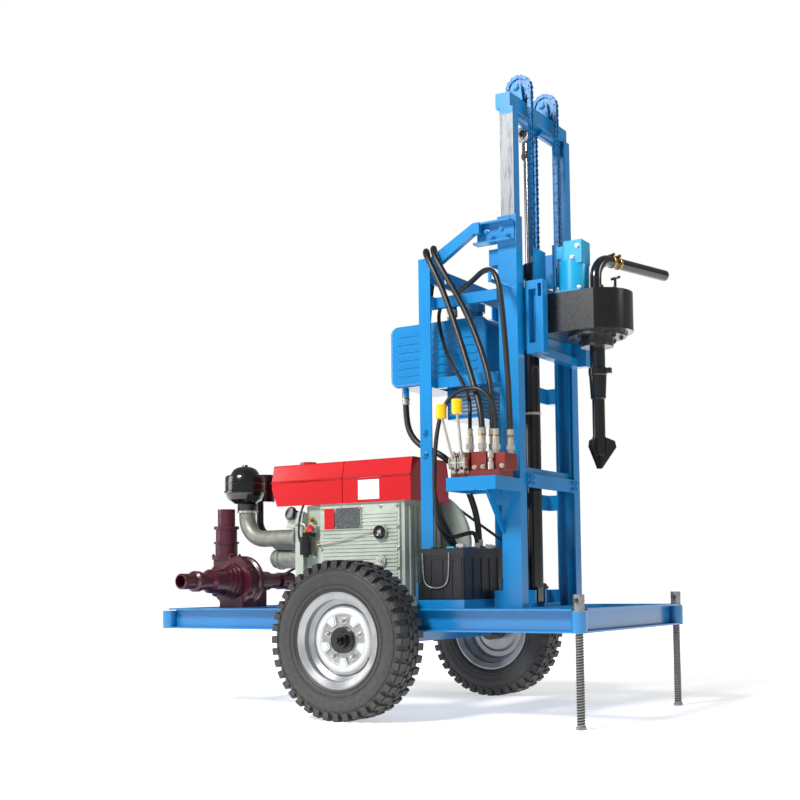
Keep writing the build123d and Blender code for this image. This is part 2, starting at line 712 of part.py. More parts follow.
# Inner mast: two channels, the head beam with its pin lugs and sprocket ears, and a tie low down
with BuildPart() as mast_inner:
    for side in (-1, 1):
        with BuildSketch(Plane.XY.offset(inner_bottom)):
            with BuildLine():
                back = column_x - inner_depth / 2
                front = column_x + inner_depth / 2
                web = side * inner_half_width
                tip = side * (inner_half_width - inner_flange)
                skin = side * (inner_half_width - column_wall)
                Polyline(
                    (back, web), (front, web), (front, tip), (front - column_wall, tip),
                    (front - column_wall, skin), (back + column_wall, skin), (back + column_wall, tip),
                    (back, tip),
                    close=True,
                )
            make_face()
        extrude(amount=inner_top - inner_bottom)
    beam_back = sprocket_x - sprocket_radius + chain_height / 2 + 6
    block((beam_back, 574), (-inner_half_width, inner_half_width), (inner_top, inner_top + beam_height))
    block((571, 577), (-inner_half_width + 2, inner_half_width - 2), (inner_bottom + 10, inner_bottom + 60))
    for lug_y in (-28, 17):
        block((cylinder_x - 22, cylinder_x + 22), (lug_y, lug_y + 11), (rod_eye_z - 24, inner_top))
    round_bar((cylinder_x, -34, rod_eye_z), (cylinder_x, 34, rod_eye_z), 25)
    for stub_near, stub_far in ((-inner_half_width + 6, -45), (45, inner_half_width - 6)):
        round_bar((543, stub_near, inner_top), (543, stub_far, inner_top), 40)
    for sprocket_y in (-chain_y, chain_y):
        for ear in (-1, 1):
            ear_plane = Plane.XZ.offset(-(sprocket_y + ear * 24))
            with BuildSketch(ear_plane):
                with BuildLine():
                    Polyline((beam_back, inner_top + beam_height), (sprocket_x - 20, sprocket_z),
                             (sprocket_x + 20, sprocket_z), (sprocket_x + 26, inner_top + beam_height),
                             close=True)
                make_face()
                with Locations((sprocket_x, sprocket_z)):
                    Circle(20.5)
            extrude(amount=4, both=True)
        round_bar((sprocket_x, sprocket_y - 40, sprocket_z), (sprocket_x, sprocket_y + 40, sprocket_z), 20)
save(mast_inner, "mast_inner")

# Chain sprockets on their pins
with BuildPart() as sprockets:
    for sprocket_y in (-chain_y, chain_y):
        with BuildSketch(Plane.XZ.offset(-sprocket_y)):
            with Locations((sprocket_x, sprocket_z)):
                Circle(sprocket_radius - roller_diameter / 2 - 0.3)
                with PolarLocations(sprocket_radius - 6, sprocket_teeth, start_angle=180 / sprocket_teeth):
                    Trapezoid(9, 12, 80, rotation=-90)
        extrude(amount=sprocket_width / 2, both=True)
        round_bar((sprocket_x, sprocket_y - 19, sprocket_z), (sprocket_x, sprocket_y + 19, sprocket_z), 40)
        round_bar((sprocket_x, sprocket_y - 20, sprocket_z), (sprocket_x, sprocket_y + 20, sprocket_z), 20.6,
                  mode=Mode.SUBTRACT)
save(sprockets, "sprockets")

# Lift chains: front runs to the carriage, rear runs to the outer mast, and the wraps over the sprockets
chain_runs = [
    # name, side of the sprocket, lower end, pitches from the axle down to the first roller
    ("chains_front", 1, chain_front_end, 1),
    ("chains_rear", -1, chain_rear_end, 0.5),
]
plate_pairs = (
    (-chain_width / 2, -chain_width / 2 + plate_thickness),
    (chain_width / 2 - plate_thickness, chain_width / 2),
)
for name, toward, end_z, first_row in chain_runs:
    run_x = sprocket_x + toward * sprocket_radius
    with BuildPart() as chain:
        for run_y in (-chain_y, chain_y):
            for low, high in plate_pairs:
                block(
                    (run_x - chain_height / 2, run_x + chain_height / 2),
                    (run_y + low, run_y + high),
                    (end_z, sprocket_z - 0.3),
                )
            rows = int((sprocket_z - end_z - roller_diameter / 2) / chain_pitch)
            with BuildSketch(Plane.XZ.offset(-run_y)):
                with Locations(*[(run_x, sprocket_z - chain_pitch * (row + first_row)) for row in range(rows)]):
                    RegularPolygon(roller_diameter / 2, 6)
            extrude(amount=chain_width / 2 - plate_thickness, both=True)
            block((run_x - 6, run_x + 6), (run_y - 10, run_y + 10), (end_z, end_z + 14))
    save(chain, name)
with BuildPart() as chains_top:
    for run_y in (-chain_y, chain_y):
        for low, high in plate_pairs:
            with BuildSketch(Plane.XZ.offset(-run_y - low)):
                with Locations((sprocket_x, sprocket_z)):
                    Circle(sprocket_radius + chain_height / 2)
                    Circle(sprocket_radius - chain_height / 2, mode=Mode.SUBTRACT)
                with Locations((sprocket_x, sprocket_z - 60)):
                    Rectangle(160, 120, mode=Mode.SUBTRACT)
            extrude(amount=-(high - low))
        with BuildSketch(Plane.XZ.offset(-run_y)):
            with Locations((sprocket_x, sprocket_z)):
                with PolarLocations(sprocket_radius, sprocket_teeth):
                    RegularPolygon(roller_diameter / 2, 6)
            with Locations((sprocket_x, sprocket_z - 60)):
                Rectangle(160, 120, mode=Mode.SUBTRACT)
        extrude(amount=chain_width / 2 - plate_thickness, both=True)
save(chains_top, "chains_top")

# Carriage: side channels with slots, back plate, beams and the rollers that run in the inner mast
carriage_slots = [
    # left and right past the face, bottom, top
    (11, 40, carriage_bottom + 38, carriage_top - 32),
    (48, 62, carriage_top - 62, carriage_top - 14),
]
with BuildPart() as carriage:
    for side in (-1, 1):
        inner, outer = sorted((side * (carriage_half_width - 40), side * carriage_half_width))
        block((carriage_face_x, carriage_face_x + 68), (inner, outer), (carriage_bottom, carriage_top))
        slot_y = side * carriage_half_width
        for slot_left, slot_right, slot_bottom, slot_top in carriage_slots:
            slot_low, slot_high = sorted((slot_y, slot_y - side * 32))
            block((carriage_face_x + slot_left, carriage_face_x + slot_right),
                  (slot_low - (side < 0), slot_high + (side > 0)), (slot_bottom, slot_top), mode=Mode.SUBTRACT)
        arm_low, arm_high = sorted((side * 172, side * 192))
        block((540, carriage_face_x), (arm_low, arm_high), (carriage_bottom + 20, carriage_top - 20))
        for roller_z in (carriage_bottom + 45, carriage_top - 45):
            round_bar((column_x, side * 185, roller_z), (column_x, side * 232, roller_z), 20)
            round_bar((column_x, side * 206, roller_z), (column_x, side * 232, roller_z),
                      inner_depth - 2 * column_wall - 0.6)
    block((carriage_face_x, carriage_face_x + 12), (-170, 170), (carriage_bottom + 40, carriage_top))
    block((carriage_face_x, carriage_face_x + 36), (-170, 170), (carriage_bottom, carriage_bottom + 32))
    block((carriage_face_x + 12, gearbox_back_x), (-90, 90), (gearbox_bottom + 10, gearbox_top - 10))
    for side in (-1, 1):
        low, high = sorted((side * 60, side * 155))
        block((carriage_face_x + 7, carriage_face_x + 13), (low, high), (carriage_top - 10, chain_front_end + 20))
        block((chain_front_x - 12, carriage_face_x + 8), (side * chain_y - 18, side * chain_y + 18),
              (carriage_top - 20, carriage_top))
        round_bar((chain_front_x, side * chain_y, carriage_top), (chain_front_x, side * chain_y, chain_front_end - 0.3), 11)
save(carriage, "carriage")

# Rotary head gearbox: rough-cast box, rounded front cover with bolt lobes, and the flange underneath
with BuildPart() as gearbox:
    block((gearbox_back_x, gearbox_joint_x), (-gearbox_half_width, gearbox_half_width), (gearbox_bottom, gearbox_top))
    for radius, low in ((108, gearbox_bottom - 16), (60, gearbox_bottom - 50)):
        round_bar((spindle_x, 0, low), (spindle_x, 0, gearbox_bottom), 2 * radius)
    round_bar((spindle_x, 0, gearbox_bottom - 51), (spindle_x, 0, gearbox_bottom - 20), spindle_diameter + 0.6,
              mode=Mode.SUBTRACT)
save(gearbox, "gearbox")

with BuildPart() as gearbox_cover:
    with BuildSketch(Plane.XY.offset(gearbox_bottom)):
        with BuildLine():
            Line((gearbox_joint_x + 0.3, gearbox_half_width), (gearbox_joint_x + 0.3, -gearbox_half_width))
            ThreePointArc((gearbox_joint_x + 0.3, -gearbox_half_width), (gearbox_nose_x - 10, 0),
                          (gearbox_joint_x + 0.3, gearbox_half_width))
        make_face()
        for lobe_y in (-96, -48, 0, 48, 96):
            lobe_x = gearbox_joint_x + 62 - 62 * (lobe_y / gearbox_half_width) ** 2
            with Locations((lobe_x, lobe_y)):
                Circle(14)
    extrude(amount=gearbox_top - gearbox_bottom)
    block((800, gearbox_joint_x + 0.3), (-200, 200), (gearbox_bottom, gearbox_top), mode=Mode.SUBTRACT)
save(gearbox_cover, "gearbox_cover")

# Hydraulic motor on the gearbox
motor_x = 706
with BuildPart() as motor:
    block((motor_x - 52, motor_x + 52), (-62, 62), (gearbox_top, gearbox_top + 22))
    round_bar((motor_x, 0, gearbox_top + 22), (motor_x, 0, gearbox_top + 135), 112)
    round_bar((motor_x, 0, gearbox_top + 135), (motor_x, 0, gearbox_top + 178), 96)
    block((motor_x - 20, motor_x + 52), (-48, 30), (gearbox_top + 120, gearbox_top + 207))
    block((motor_x - 58, motor_x - 30), (-30, 10), (gearbox_top + 150, gearbox_top + 195))
save(motor, "hydraulic_motor")

# Water swivel pipe above the spindle, with its elbow
pipe_end_y = 408
pipe_end_x = spindle_x + 115
pipe_heading = Vector(pipe_end_x - spindle_x, pipe_end_y, 0).normalized()
elbow = 75
with BuildPart() as water_pipe:
    with BuildLine() as run:
        turn = Vector(spindle_x, 0, water_pipe_z) + pipe_heading * elbow
        middle = Vector(spindle_x, 0, water_pipe_z - elbow) + (pipe_heading * (1 - math.sqrt(0.5)) + Vector(0, 0, math.sqrt(0.5))) * elbow
        Line((spindle_x, 0, gearbox_top), (spindle_x, 0, water_pipe_z - elbow))
        ThreePointArc((spindle_x, 0, water_pipe_z - elbow), middle, turn)
        Line(turn, (pipe_end_x, pipe_end_y, water_pipe_z))
    with BuildSketch(Plane.XY.offset(gearbox_top)):
        with Locations((spindle_x, 0)):
            Circle(water_pipe_outside / 2)
    sweep(path=run.wires()[0])
    round_bar((spindle_x, 0, gearbox_top), (spindle_x, 0, gearbox_top + 18), 52)
save(water_pipe, "water_pipe")

# Spindle with its clamp collar, adapter and rod, one turning piece
with BuildPart() as spindle:
    with BuildSketch(Plane(origin=(spindle_x, 0, 0), x_dir=(1, 0, 0), z_dir=(0, -1, 0))):
        with BuildLine():
            Polyline(
                (0, gearbox_bottom - 22), (spindle_diameter / 2, gearbox_bottom - 22), (spindle_diameter / 2, 1268),
                (34, 1264), (34, 1240), (32, 1236), (28, 1162), (28, 1152), (23, 1148), (23, bit_top_z),
                (0, bit_top_z), (0, gearbox_bottom - 22),
            )
        make_face()
    revolve(axis=Axis((spindle_x, 0, 0), (0, 0, 1)))
    block((spindle_x + 26, spindle_x + 52), (-9, 9), (1242, 1262))
save(spindle, "spindle")

# Three-wing drag bit
with BuildPart() as bit:
    round_bar((spindle_x, 0, bit_tip_z + 50), (spindle_x, 0, bit_top_z), 50)
    for wing in range(3):
        wing_plane = Plane(origin=(spindle_x, 0, 0), x_dir=(math.cos(math.radians(120 * wing + 20)),
                                                           math.sin(math.radians(120 * wing + 20)), 0),
                           z_dir=(math.sin(math.radians(120 * wing + 20)),
                                  -math.cos(math.radians(120 * wing + 20)), 0))
        with BuildSketch(wing_plane):
            with BuildLine():
                Polyline((0, bit_tip_z), (8, bit_tip_z), (62, bit_tip_z + 78), (57, bit_tip_z + 100),
                         (30, bit_top_z - 4), (0, bit_top_z - 4), close=True)
            make_face()
        extrude(amount=7, both=True)
save(bit, "drill_bit")

# Hydraulic oil tank: pressed box with six ribs and its filler
with BuildPart() as oil_tank:
    block((tank_left, tank_right), (-tank_half_depth, tank_half_depth), (tank_bottom, tank_top))
    fillet(oil_tank.edges().filter_by(Axis.Y), 34)
    fillet(oil_tank.edges().group_by(Axis.Y)[0] + oil_tank.edges().group_by(Axis.Y)[-1], 12)
    block((tank_left + 14, tank_right - 14), (-tank_half_depth + 4, tank_half_depth - 4),
          (tank_bottom + 14, tank_top - 14), mode=Mode.SUBTRACT)
    for row in range(6):
        rib_z = tank_bottom + 42 + row * 31
        block((tank_left + 40, tank_right - 40), (-tank_half_depth - 4, tank_half_depth + 4), (rib_z, rib_z + 8))
    round_bar((285, 0, tank_top - 5), (285, 0, tank_top + 45), 56)
    round_bar((285, 0, tank_top + 45), (285, 0, tank_top + 78), 74)
    round_bar((20, -100, tank_bottom - 34), (20, -100, tank_bottom + 5), 28)
    for lead_x in (200, 222):
        round_bar((lead_x, -60, tank_top - 5), (lead_x, -60, tank_top + 30), 18)
save(oil_tank, "oil_tank")

# Oil cooler hung under the tank bearers, with louvres
cooler_top = tank_bottom - 40
with BuildPart() as oil_cooler:
    block((262, 400), (-190, 110), (cooler_top - 110, cooler_top))
    for row in range(7):
        louvre_z = cooler_top - 100 + row * 14
        block((270, 392), (-196, 116), (louvre_z, louvre_z + 5))
    for row in range(7):
        louvre_z = cooler_top - 100 + row * 14
        block((396, 406), (-180, 100), (louvre_z, louvre_z + 5))
save(oil_cooler, "oil_cooler")

# Valve shelf on the near column
with BuildPart() as shelf:
    block((shelf_left, column_front), (shelf_y, -column_half_width), (shelf_top - 8, shelf_top))
    block((shelf_left, column_front), (shelf_y, shelf_y + 6), (shelf_top - shelf_height, shelf_top))
    block((column_front - 6, column_front), (shelf_y, -column_half_width), (shelf_top - shelf_height, shelf_top))
    block((shelf_left, shelf_left + 6), (shelf_y, -column_half_width), (shelf_top - shelf_height, shelf_top))
    block((shelf_left, column_back), (-column_half_width - 6, -column_half_width), (shelf_top - shelf_height, shelf_top))
    with BuildSketch(Plane.YZ.offset(column_back)):
        with BuildLine():
            Polyline((shelf_y + 30, shelf_top - 8), (shelf_y + 62, shelf_top - 8), (-column_half_width, 690),
                     (-column_half_width, 655), close=True)
        make_face()
    extrude(amount=12)
save(shelf, "valve_shelf")

# Control valve: sections bolted side by side with an inlet body and a relief block
valve_bottom = shelf_top
valve_near_y = -425
valve_far_y = -318
with BuildPart() as valve:
    block((408, 600), (valve_near_y, valve_far_y), (valve_bottom, valve_bottom + 22))
    for section_x in (430, 466):
        block((section_x - 15, section_x + 15), (valve_near_y + 4, valve_far_y - 6),
              (valve_bottom + 22, valve_bottom + 88))
        round_bar((section_x, valve_near_y + 4, valve_bottom + 50), (section_x, valve_near_y - 14, valve_bottom + 50),
                  26)
    block((488, 546), (valve_near_y + 8, valve_far_y - 2), (valve_bottom + 22, valve_bottom + 88))
    block((550, 618), (valve_near_y + 12, valve_far_y), (valve_bottom + 22, valve_bottom + 80))
    block((420, 600), (valve_near_y + 30, valve_far_y - 30), (valve_bottom + 22, valve_bottom + 60))
save(valve, "control_valve")

lever_table = [
    # foot x, top x, top z
    (430, 388, 1076),
    (466, 452, 1090),
]
lever_foot_y = valve_near_y - 19
lever_top_y = -452
knob_height = 50
with BuildPart() as levers:
    for foot_x, top_x, top_z in lever_table:
        round_bar((foot_x, lever_foot_y, valve_bottom + 56), (top_x, lever_top_y, top_z), 10)
        block((foot_x - 10, foot_x + 10), (lever_foot_y - 3, valve_near_y - 14.3),
              (valve_bottom + 36, valve_bottom + 66))
save(levers, "valve_levers")

with BuildPart() as knobs:
    for foot_x, top_x, top_z in lever_table:
        with Locations((top_x, lever_top_y, top_z - 14 + knob_height / 2)):
            Cylinder(19, knob_height)
        round_bar((foot_x, lever_foot_y, valve_bottom + 56), (top_x, lever_top_y, top_z + 1), 10.4,
                  mode=Mode.SUBTRACT)
save(knobs, "lever_knobs")

fitting_length = 60
fitting_table = [
    # name, x, y, height of the seat over the shelf
    ("return", 466, -385, 88),
    ("post_first", 515, -385, 88),
    ("gauge", 570, -385, 80),
    ("hook", 600, -335, 80),
    ("post_second", 532, -338, 88),
]
fitting_top = {}
with BuildPart() as fittings:
    for name, x, y, seat in fitting_table:
        low = valve_bottom + seat
        fitting_top[name] = (x, y, low + fitting_length + 0.3)
        round_bar((x, y, low), (x, y, low + fitting_length), 24)
        with BuildSketch(Plane.XY.offset(low + 14)):
            with Locations((x, y)):
                RegularPolygon(17, 6)
        extrude(amount=18)
save(fittings, "valve_fittings")

# Battery on its tray, with the hold-down bar
battery_right = battery_left + 178
battery_far_y = battery_near_y + 265
battery_bottom = rail_top + 30
battery_top = battery_bottom + 182
with BuildPart() as tray:
    block((battery_left - 5, battery_right + 5), (battery_near_y - 5, battery_far_y + 5), (rail_top, rail_top + 30))
    block((battery_left - 11, battery_left - 5), (battery_near_y - 5, battery_far_y + 5), (rail_top, rail_top + 90))
save(tray, "battery_tray")

with BuildPart() as battery:
    block((battery_left, battery_right), (battery_near_y, battery_far_y), (battery_bottom, battery_top - 26))
    block((battery_left - 3, battery_right + 3), (battery_near_y - 3, battery_far_y + 3), (battery_top - 26, battery_top - 6))
    block((battery_left, battery_right), (battery_near_y, battery_far_y), (battery_top - 6, battery_top))
save(battery, "battery")

with BuildPart() as hold_down:
    block((battery_left + 105, battery_left + 135), (battery_near_y + 10, battery_far_y + 28), (battery_top, battery_top + 6))
    round_bar((battery_left + 120, battery_far_y + 16, rail_top), (battery_left + 120, battery_far_y + 16, battery_top + 20), 9)
save(hold_down, "battery_hold_down")

# Hoses, each by the points of its route
hose_routes = {
    "hose_post_first": (22, [
        fitting_top["post_first"], (515, -385, 1075), (472, -364, 1190), (406, -344, 1365), (342, -336, 1535),
        (287, -338, 1652), (254, -326, 1704), (238, -290, 1728), (220, -248, 1704), (200, -234, 1640),
        (182, -228, 1520), (176, -226, 1300), (178, -222, 1000), (188, -200, 800), (210, -130, 660),
        (226, -70, 606), (246, -50, 590), (hyd_x - 55.3, -50, 590),
    ]),
    "hose_post_second": (22, [
        fitting_top["post_second"], (532, -338, 1075), (528, -338, 1180), (490, -326, 1304), (422, -318, 1462),
        (366, -332, 1570), (312, -338, 1662), (284, -322, 1714), (268, -285, 1734), (246, -240, 1716),
        (216, -206, 1655), (190, -196, 1545), (172, -194, 1300), (172, -192, 1000), (180, -165, 800),
        (196, -80, 670), (214, -26, 588), (244, -8, 545), (hyd_x - 55.3, -8, 545),
    ]),
    "hose_hook": (20, [
        fitting_top["hook"], (600, -335, 1070), (606, -362, 1250), (602, -380, 1420), (594, -388, 1530),
        (566, -380, 1586), (505, -340, 1602), (420, -262, 1592), (330, -180, 1592), (262, -104, 1590),
        (232, -66, 1578), (222, -60, 1550), (222, -60, tank_top + 30.3),
    ]),
    "hose_return": (14, [
        fitting_top["return"], (466, -385, 1060), (455, -360, 1130), (400, -322, 1215), (330, -290, 1300),
        (272, -240, 1395), (232, -200, 1480), (212, -150, 1542), (202, -95, 1562), (200, -60, 1548),
        (200, -60, tank_top + 30.3),
    ]),
    "hose_pressure": (16, [
        fitting_top["gauge"], (570, -385, 1060), (560, -392, 1125), (520, -402, 1165), (462, -404, 1172),
        (398, -398, 1152), (344, -375, 1100), (308, -350, 1030), (288, -336, 930), (280, -326, 790),
        (282, -310, 690), (300, -250, 645), (320, -160, 668), (hyd_x, -98, 672), (hyd_x, -98, hyd_z + 45.3),
    ]),
    "hose_suction": (24, [
        (20, -100, tank_bottom - 34.3), (20, -100, 1130), (40, -98, 1060), (90, -92, 1012), (160, -84, 985),
        (225, -70, 930), (268, -40, 830), (290, -10, 710), (290, -10, hyd_z + 60.3),
    ]),
}
for name, (diameter, points) in hose_routes.items():
    with BuildPart() as hose:
        radii = cord(points, diameter)
    print(name, "bend radii", [round(radius) for radius in radii])
    save(hose, name)
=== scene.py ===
"""Looks of the trailer-mounted water well drilling rig: paint, rubber, bolts, chain links and hoses."""
import math

import bmesh
import bpy
from mathutils import Matrix, Vector


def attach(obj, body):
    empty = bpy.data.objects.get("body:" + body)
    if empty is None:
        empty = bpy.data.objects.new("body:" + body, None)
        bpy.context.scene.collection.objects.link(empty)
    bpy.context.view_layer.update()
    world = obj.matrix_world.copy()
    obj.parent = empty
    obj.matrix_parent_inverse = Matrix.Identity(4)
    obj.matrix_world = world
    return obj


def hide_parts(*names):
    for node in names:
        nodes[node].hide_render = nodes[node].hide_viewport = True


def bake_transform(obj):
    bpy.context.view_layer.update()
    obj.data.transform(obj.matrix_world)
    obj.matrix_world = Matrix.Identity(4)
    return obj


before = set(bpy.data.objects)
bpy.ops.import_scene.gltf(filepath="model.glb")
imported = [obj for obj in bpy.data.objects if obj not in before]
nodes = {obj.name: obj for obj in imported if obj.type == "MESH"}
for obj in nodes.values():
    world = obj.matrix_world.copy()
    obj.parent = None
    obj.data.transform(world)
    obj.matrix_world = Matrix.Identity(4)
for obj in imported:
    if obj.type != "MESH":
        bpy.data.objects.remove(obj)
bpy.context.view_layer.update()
scene = bpy.context.scene


def mm(*values):
    """Millimetres to metres: one number, or a point."""
    scaled = [value / 1000 for value in values]
    return scaled[0] if len(scaled) == 1 else Vector(scaled)


# Places in mm that several sections share, as in the part's source
axle_x = 50
axle_z = 284
track_half = 567
hub_radius = 47
mast_web_outside = 244.6
cylinder_x = 522
sprocket_x = 546
sprocket_z = 2334
spindle_x = 792
upward = (0, 0, 1)
downward = (0, 0, -1)
to_near_side = (0, -1, 0)
to_far_side = (0, 1, 0)
to_mast = (1, 0, 0)
to_engine = (-1, 0, 0)


# Camera at the photograph's angle
camera_place = Vector((2.604, -4.2149, 0.4811))
camera_yaw = 0.5664
camera_pitch = 0.0656
camera_roll = -0.0111
focal_pixels = 1242.41
photo_pixels = 800
centre_row = 502.3

ahead = Vector((
    -math.sin(camera_yaw) * math.cos(camera_pitch),
    math.cos(camera_yaw) * math.cos(camera_pitch),
    math.sin(camera_pitch),
))
level_right = Vector((math.cos(camera_yaw), math.sin(camera_yaw), 0))
level_up = level_right.cross(ahead)
right = level_right * math.cos(camera_roll) + level_up * math.sin(camera_roll)
up = level_up * math.cos(camera_roll) - level_right * math.sin(camera_roll)
lens = bpy.data.cameras.new("camera")
lens.sensor_width = 36
lens.lens = 36 * focal_pixels / photo_pixels
lens.shift_y = (centre_row - photo_pixels / 2) / photo_pixels
camera = bpy.data.objects.new("camera", lens)
camera.matrix_world = Matrix.Translation(camera_place) @ Matrix((right, up, -ahead)).transposed().to_4x4()
scene.collection.objects.link(camera)
scene.camera = camera


# Materials
def srgb(code):
    """Hex colour to linear RGBA."""
    channels = [int(code[place:place + 2], 16) / 255 for place in (0, 2, 4)]
    return tuple(c / 12.92 if c <= 0.04045 else ((c + 0.055) / 1.055) ** 2.4 for c in channels) + (1.0,)


def per_mm(size):
    """Texture scale whose features are about this many millimetres across."""
    return 1000 / size


def add(tree, kind, inputs=None, **settings):
    """A node with its settings, its constants and its links."""
    node = tree.nodes.new(kind)
    for name, value in settings.items():
        setattr(node, name, value)
    for socket, value in (inputs or {}).items():
        if isinstance(value, bpy.types.NodeSocket):
            tree.links.new(value, node.inputs[socket])
        else:
            node.inputs[socket].default_value = value
    return node


def noise(tree, place, size_mm, **inputs):
    """A noise texture's value, with features of about this size."""
    sockets = {"Vector": place, "Scale": per_mm(size_mm), **inputs}
    return add(tree, "ShaderNodeTexNoise", sockets).outputs["Fac"]


def ramp(tree, value, low, high, top=1.0, bottom=0.0):
    """A value that goes from bottom to top while the input goes from low to high."""
    sockets = {"Value": value, "From Min": low, "From Max": high, "To Min": bottom, "To Max": top}
    return add(tree, "ShaderNodeMapRange", sockets).outputs["Result"]


def mix(tree, share, first, second):
    """Two colours blended by the second one's share."""
    sockets = {"Factor": share, "A": first, "B": second}
    return add(tree, "ShaderNodeMix", sockets, data_type="RGBA").outputs["Result"]


def calculate(tree, operation, *values):
    """The result of one operation on one to three values."""
    return add(tree, "ShaderNodeMath", dict(enumerate(values)), operation=operation).outputs["Value"]


coat_roughness = 0.12
dust_colour = "9A958C"
dust_top = 0.62
dust_bottom = 0.05
dust_mm = 14
wear_and_glint_edge = 0.04


def surface(name, colour, roughness, metal=0.0, coat=0.0, grain_mm=0.0, grain=0.0, mottle="", mottle_mm=180,
            mottle_share=0.25, dust=0.0, wear_and_glint="", wear_and_glint_mm=30, wear_and_glint_share=0.5):
    """One finish: a base colour with a second tone in patches, lighter spots that are partly wear and partly
    painted glints, dust low down and a grain.
    """
    material = bpy.data.materials.new(name)
    material.use_nodes = True
    tree = material.node_tree
    shader = tree.nodes["Principled BSDF"]
    shader.inputs["Base Color"].default_value = srgb(colour)
    shader.inputs["Roughness"].default_value = roughness
    shader.inputs["Metallic"].default_value = metal
    shader.inputs["Coat Weight"].default_value = coat
    shader.inputs["Coat Roughness"].default_value = coat_roughness
    place = add(tree, "ShaderNodeTexCoord").outputs["Object"]
    tone = srgb(colour)
    if mottle:
        patches = noise(tree, place, mottle_mm, Detail=4.0)
        tone = mix(tree, ramp(tree, patches, 0.35, 0.7, top=mottle_share), tone, srgb(mottle))
    # Lighter spots: partly wear, partly painted glints that stand in for a speckled reflection.
    if wear_and_glint:
        spots = noise(tree, place, wear_and_glint_mm, Detail=6.0, Roughness=0.65)
        tone = mix(tree, ramp(tree, spots, 1 - wear_and_glint_share, 1 + wear_and_glint_edge - wear_and_glint_share), tone, srgb(wear_and_glint))
    if dust:
        height = add(tree, "ShaderNodeSeparateXYZ", {"Vector": place}).outputs["Z"]
        low = ramp(tree, height, dust_top, dust_bottom, top=dust)
        powder = noise(tree, place, dust_mm, Detail=8.0)
        tone = mix(tree, calculate(tree, "MULTIPLY", low, powder), tone, srgb(dust_colour))
    if mottle or wear_and_glint or dust:
        tree.links.new(tone, shader.inputs["Base Color"])
    if grain:
        rough = noise(tree, place, grain_mm, Detail=5.0)
        bump = add(tree, "ShaderNodeBump", {"Height": rough, "Strength": 1.0, "Distance": mm(grain)})
        tree.links.new(bump.outputs["Normal"], shader.inputs["Normal"])
    return material


def overlay(material, mask, colour, roughness, metal):
    """A second finish over a mottled one where the mask is one."""
    tree = material.node_tree
    shader = tree.nodes["Principled BSDF"]
    base = shader.inputs["Base Color"]
    tree.links.new(mix(tree, mask, base.links[0].from_socket, srgb(colour)), base)
    for socket, value in (("Roughness", roughness), ("Metallic", metal)):
        before = shader.inputs[socket].default_value
        tree.links.new(ramp(tree, mask, 0.0, 1.0, bottom=before, top=value), shader.inputs[socket])


def wear_webs(material):
    """Bare steel where the inner mast's webs rub in the outer mast, with upright scratches."""
    bare_height = 2.165
    ragged_edge = 0.06
    tree = material.node_tree
    place = add(tree, "ShaderNodeTexCoord").outputs["Object"]
    parts = add(tree, "ShaderNodeSeparateXYZ", {"Vector": place}).outputs
    outer = calculate(tree, "GREATER_THAN", calculate(tree, "ABSOLUTE", parts["Y"]), mm(mast_web_outside))
    upright = add(tree, "ShaderNodeMapping", {"Vector": place, "Scale": (1.0, 1.0, 0.12)}).outputs["Vector"]
    streaks = noise(tree, upright, 12, Detail=6.0, Roughness=0.7)
    edge = calculate(tree, "MULTIPLY_ADD", streaks, ragged_edge, bare_height)
    under = calculate(tree, "LESS_THAN", parts["Z"], edge)
    zone = calculate(tree, "MULTIPLY", outer, under)
    bare = calculate(tree, "MULTIPLY", zone, ramp(tree, streaks, 0.72, 0.66))
    overlay(material, bare, "77797C", 0.42, 0.5)
    scratches = calculate(tree, "MULTIPLY", bare, ramp(tree, streaks, 0.5, 0.62, top=0.75))
    base = tree.nodes["Principled BSDF"].inputs["Base Color"]
    tree.links.new(mix(tree, scratches, base.links[0].from_socket, srgb("434549")), base)


def darken_hub(material):
    """Black oily paint on the hub, within its radius of the wheel's axis."""
    tree = material.node_tree
    place = add(tree, "ShaderNodeTexCoord").outputs["Object"]
    centre = tuple(mm(axle_x, 0, axle_z))
    across_axle = (1.0, 0.0, 1.0)
    away = add(tree, "ShaderNodeVectorMath", {0: place, 1: centre}, operation="SUBTRACT").outputs["Vector"]
    flat = add(tree, "ShaderNodeVectorMath", {0: away, 1: across_axle}, operation="MULTIPLY")
    reach = add(tree, "ShaderNodeVectorMath", {0: flat.outputs["Vector"]}, operation="LENGTH").outputs["Value"]
    overlay(material, calculate(tree, "LESS_THAN", reach, mm(hub_radius)), "131315", 0.3, 0.2)


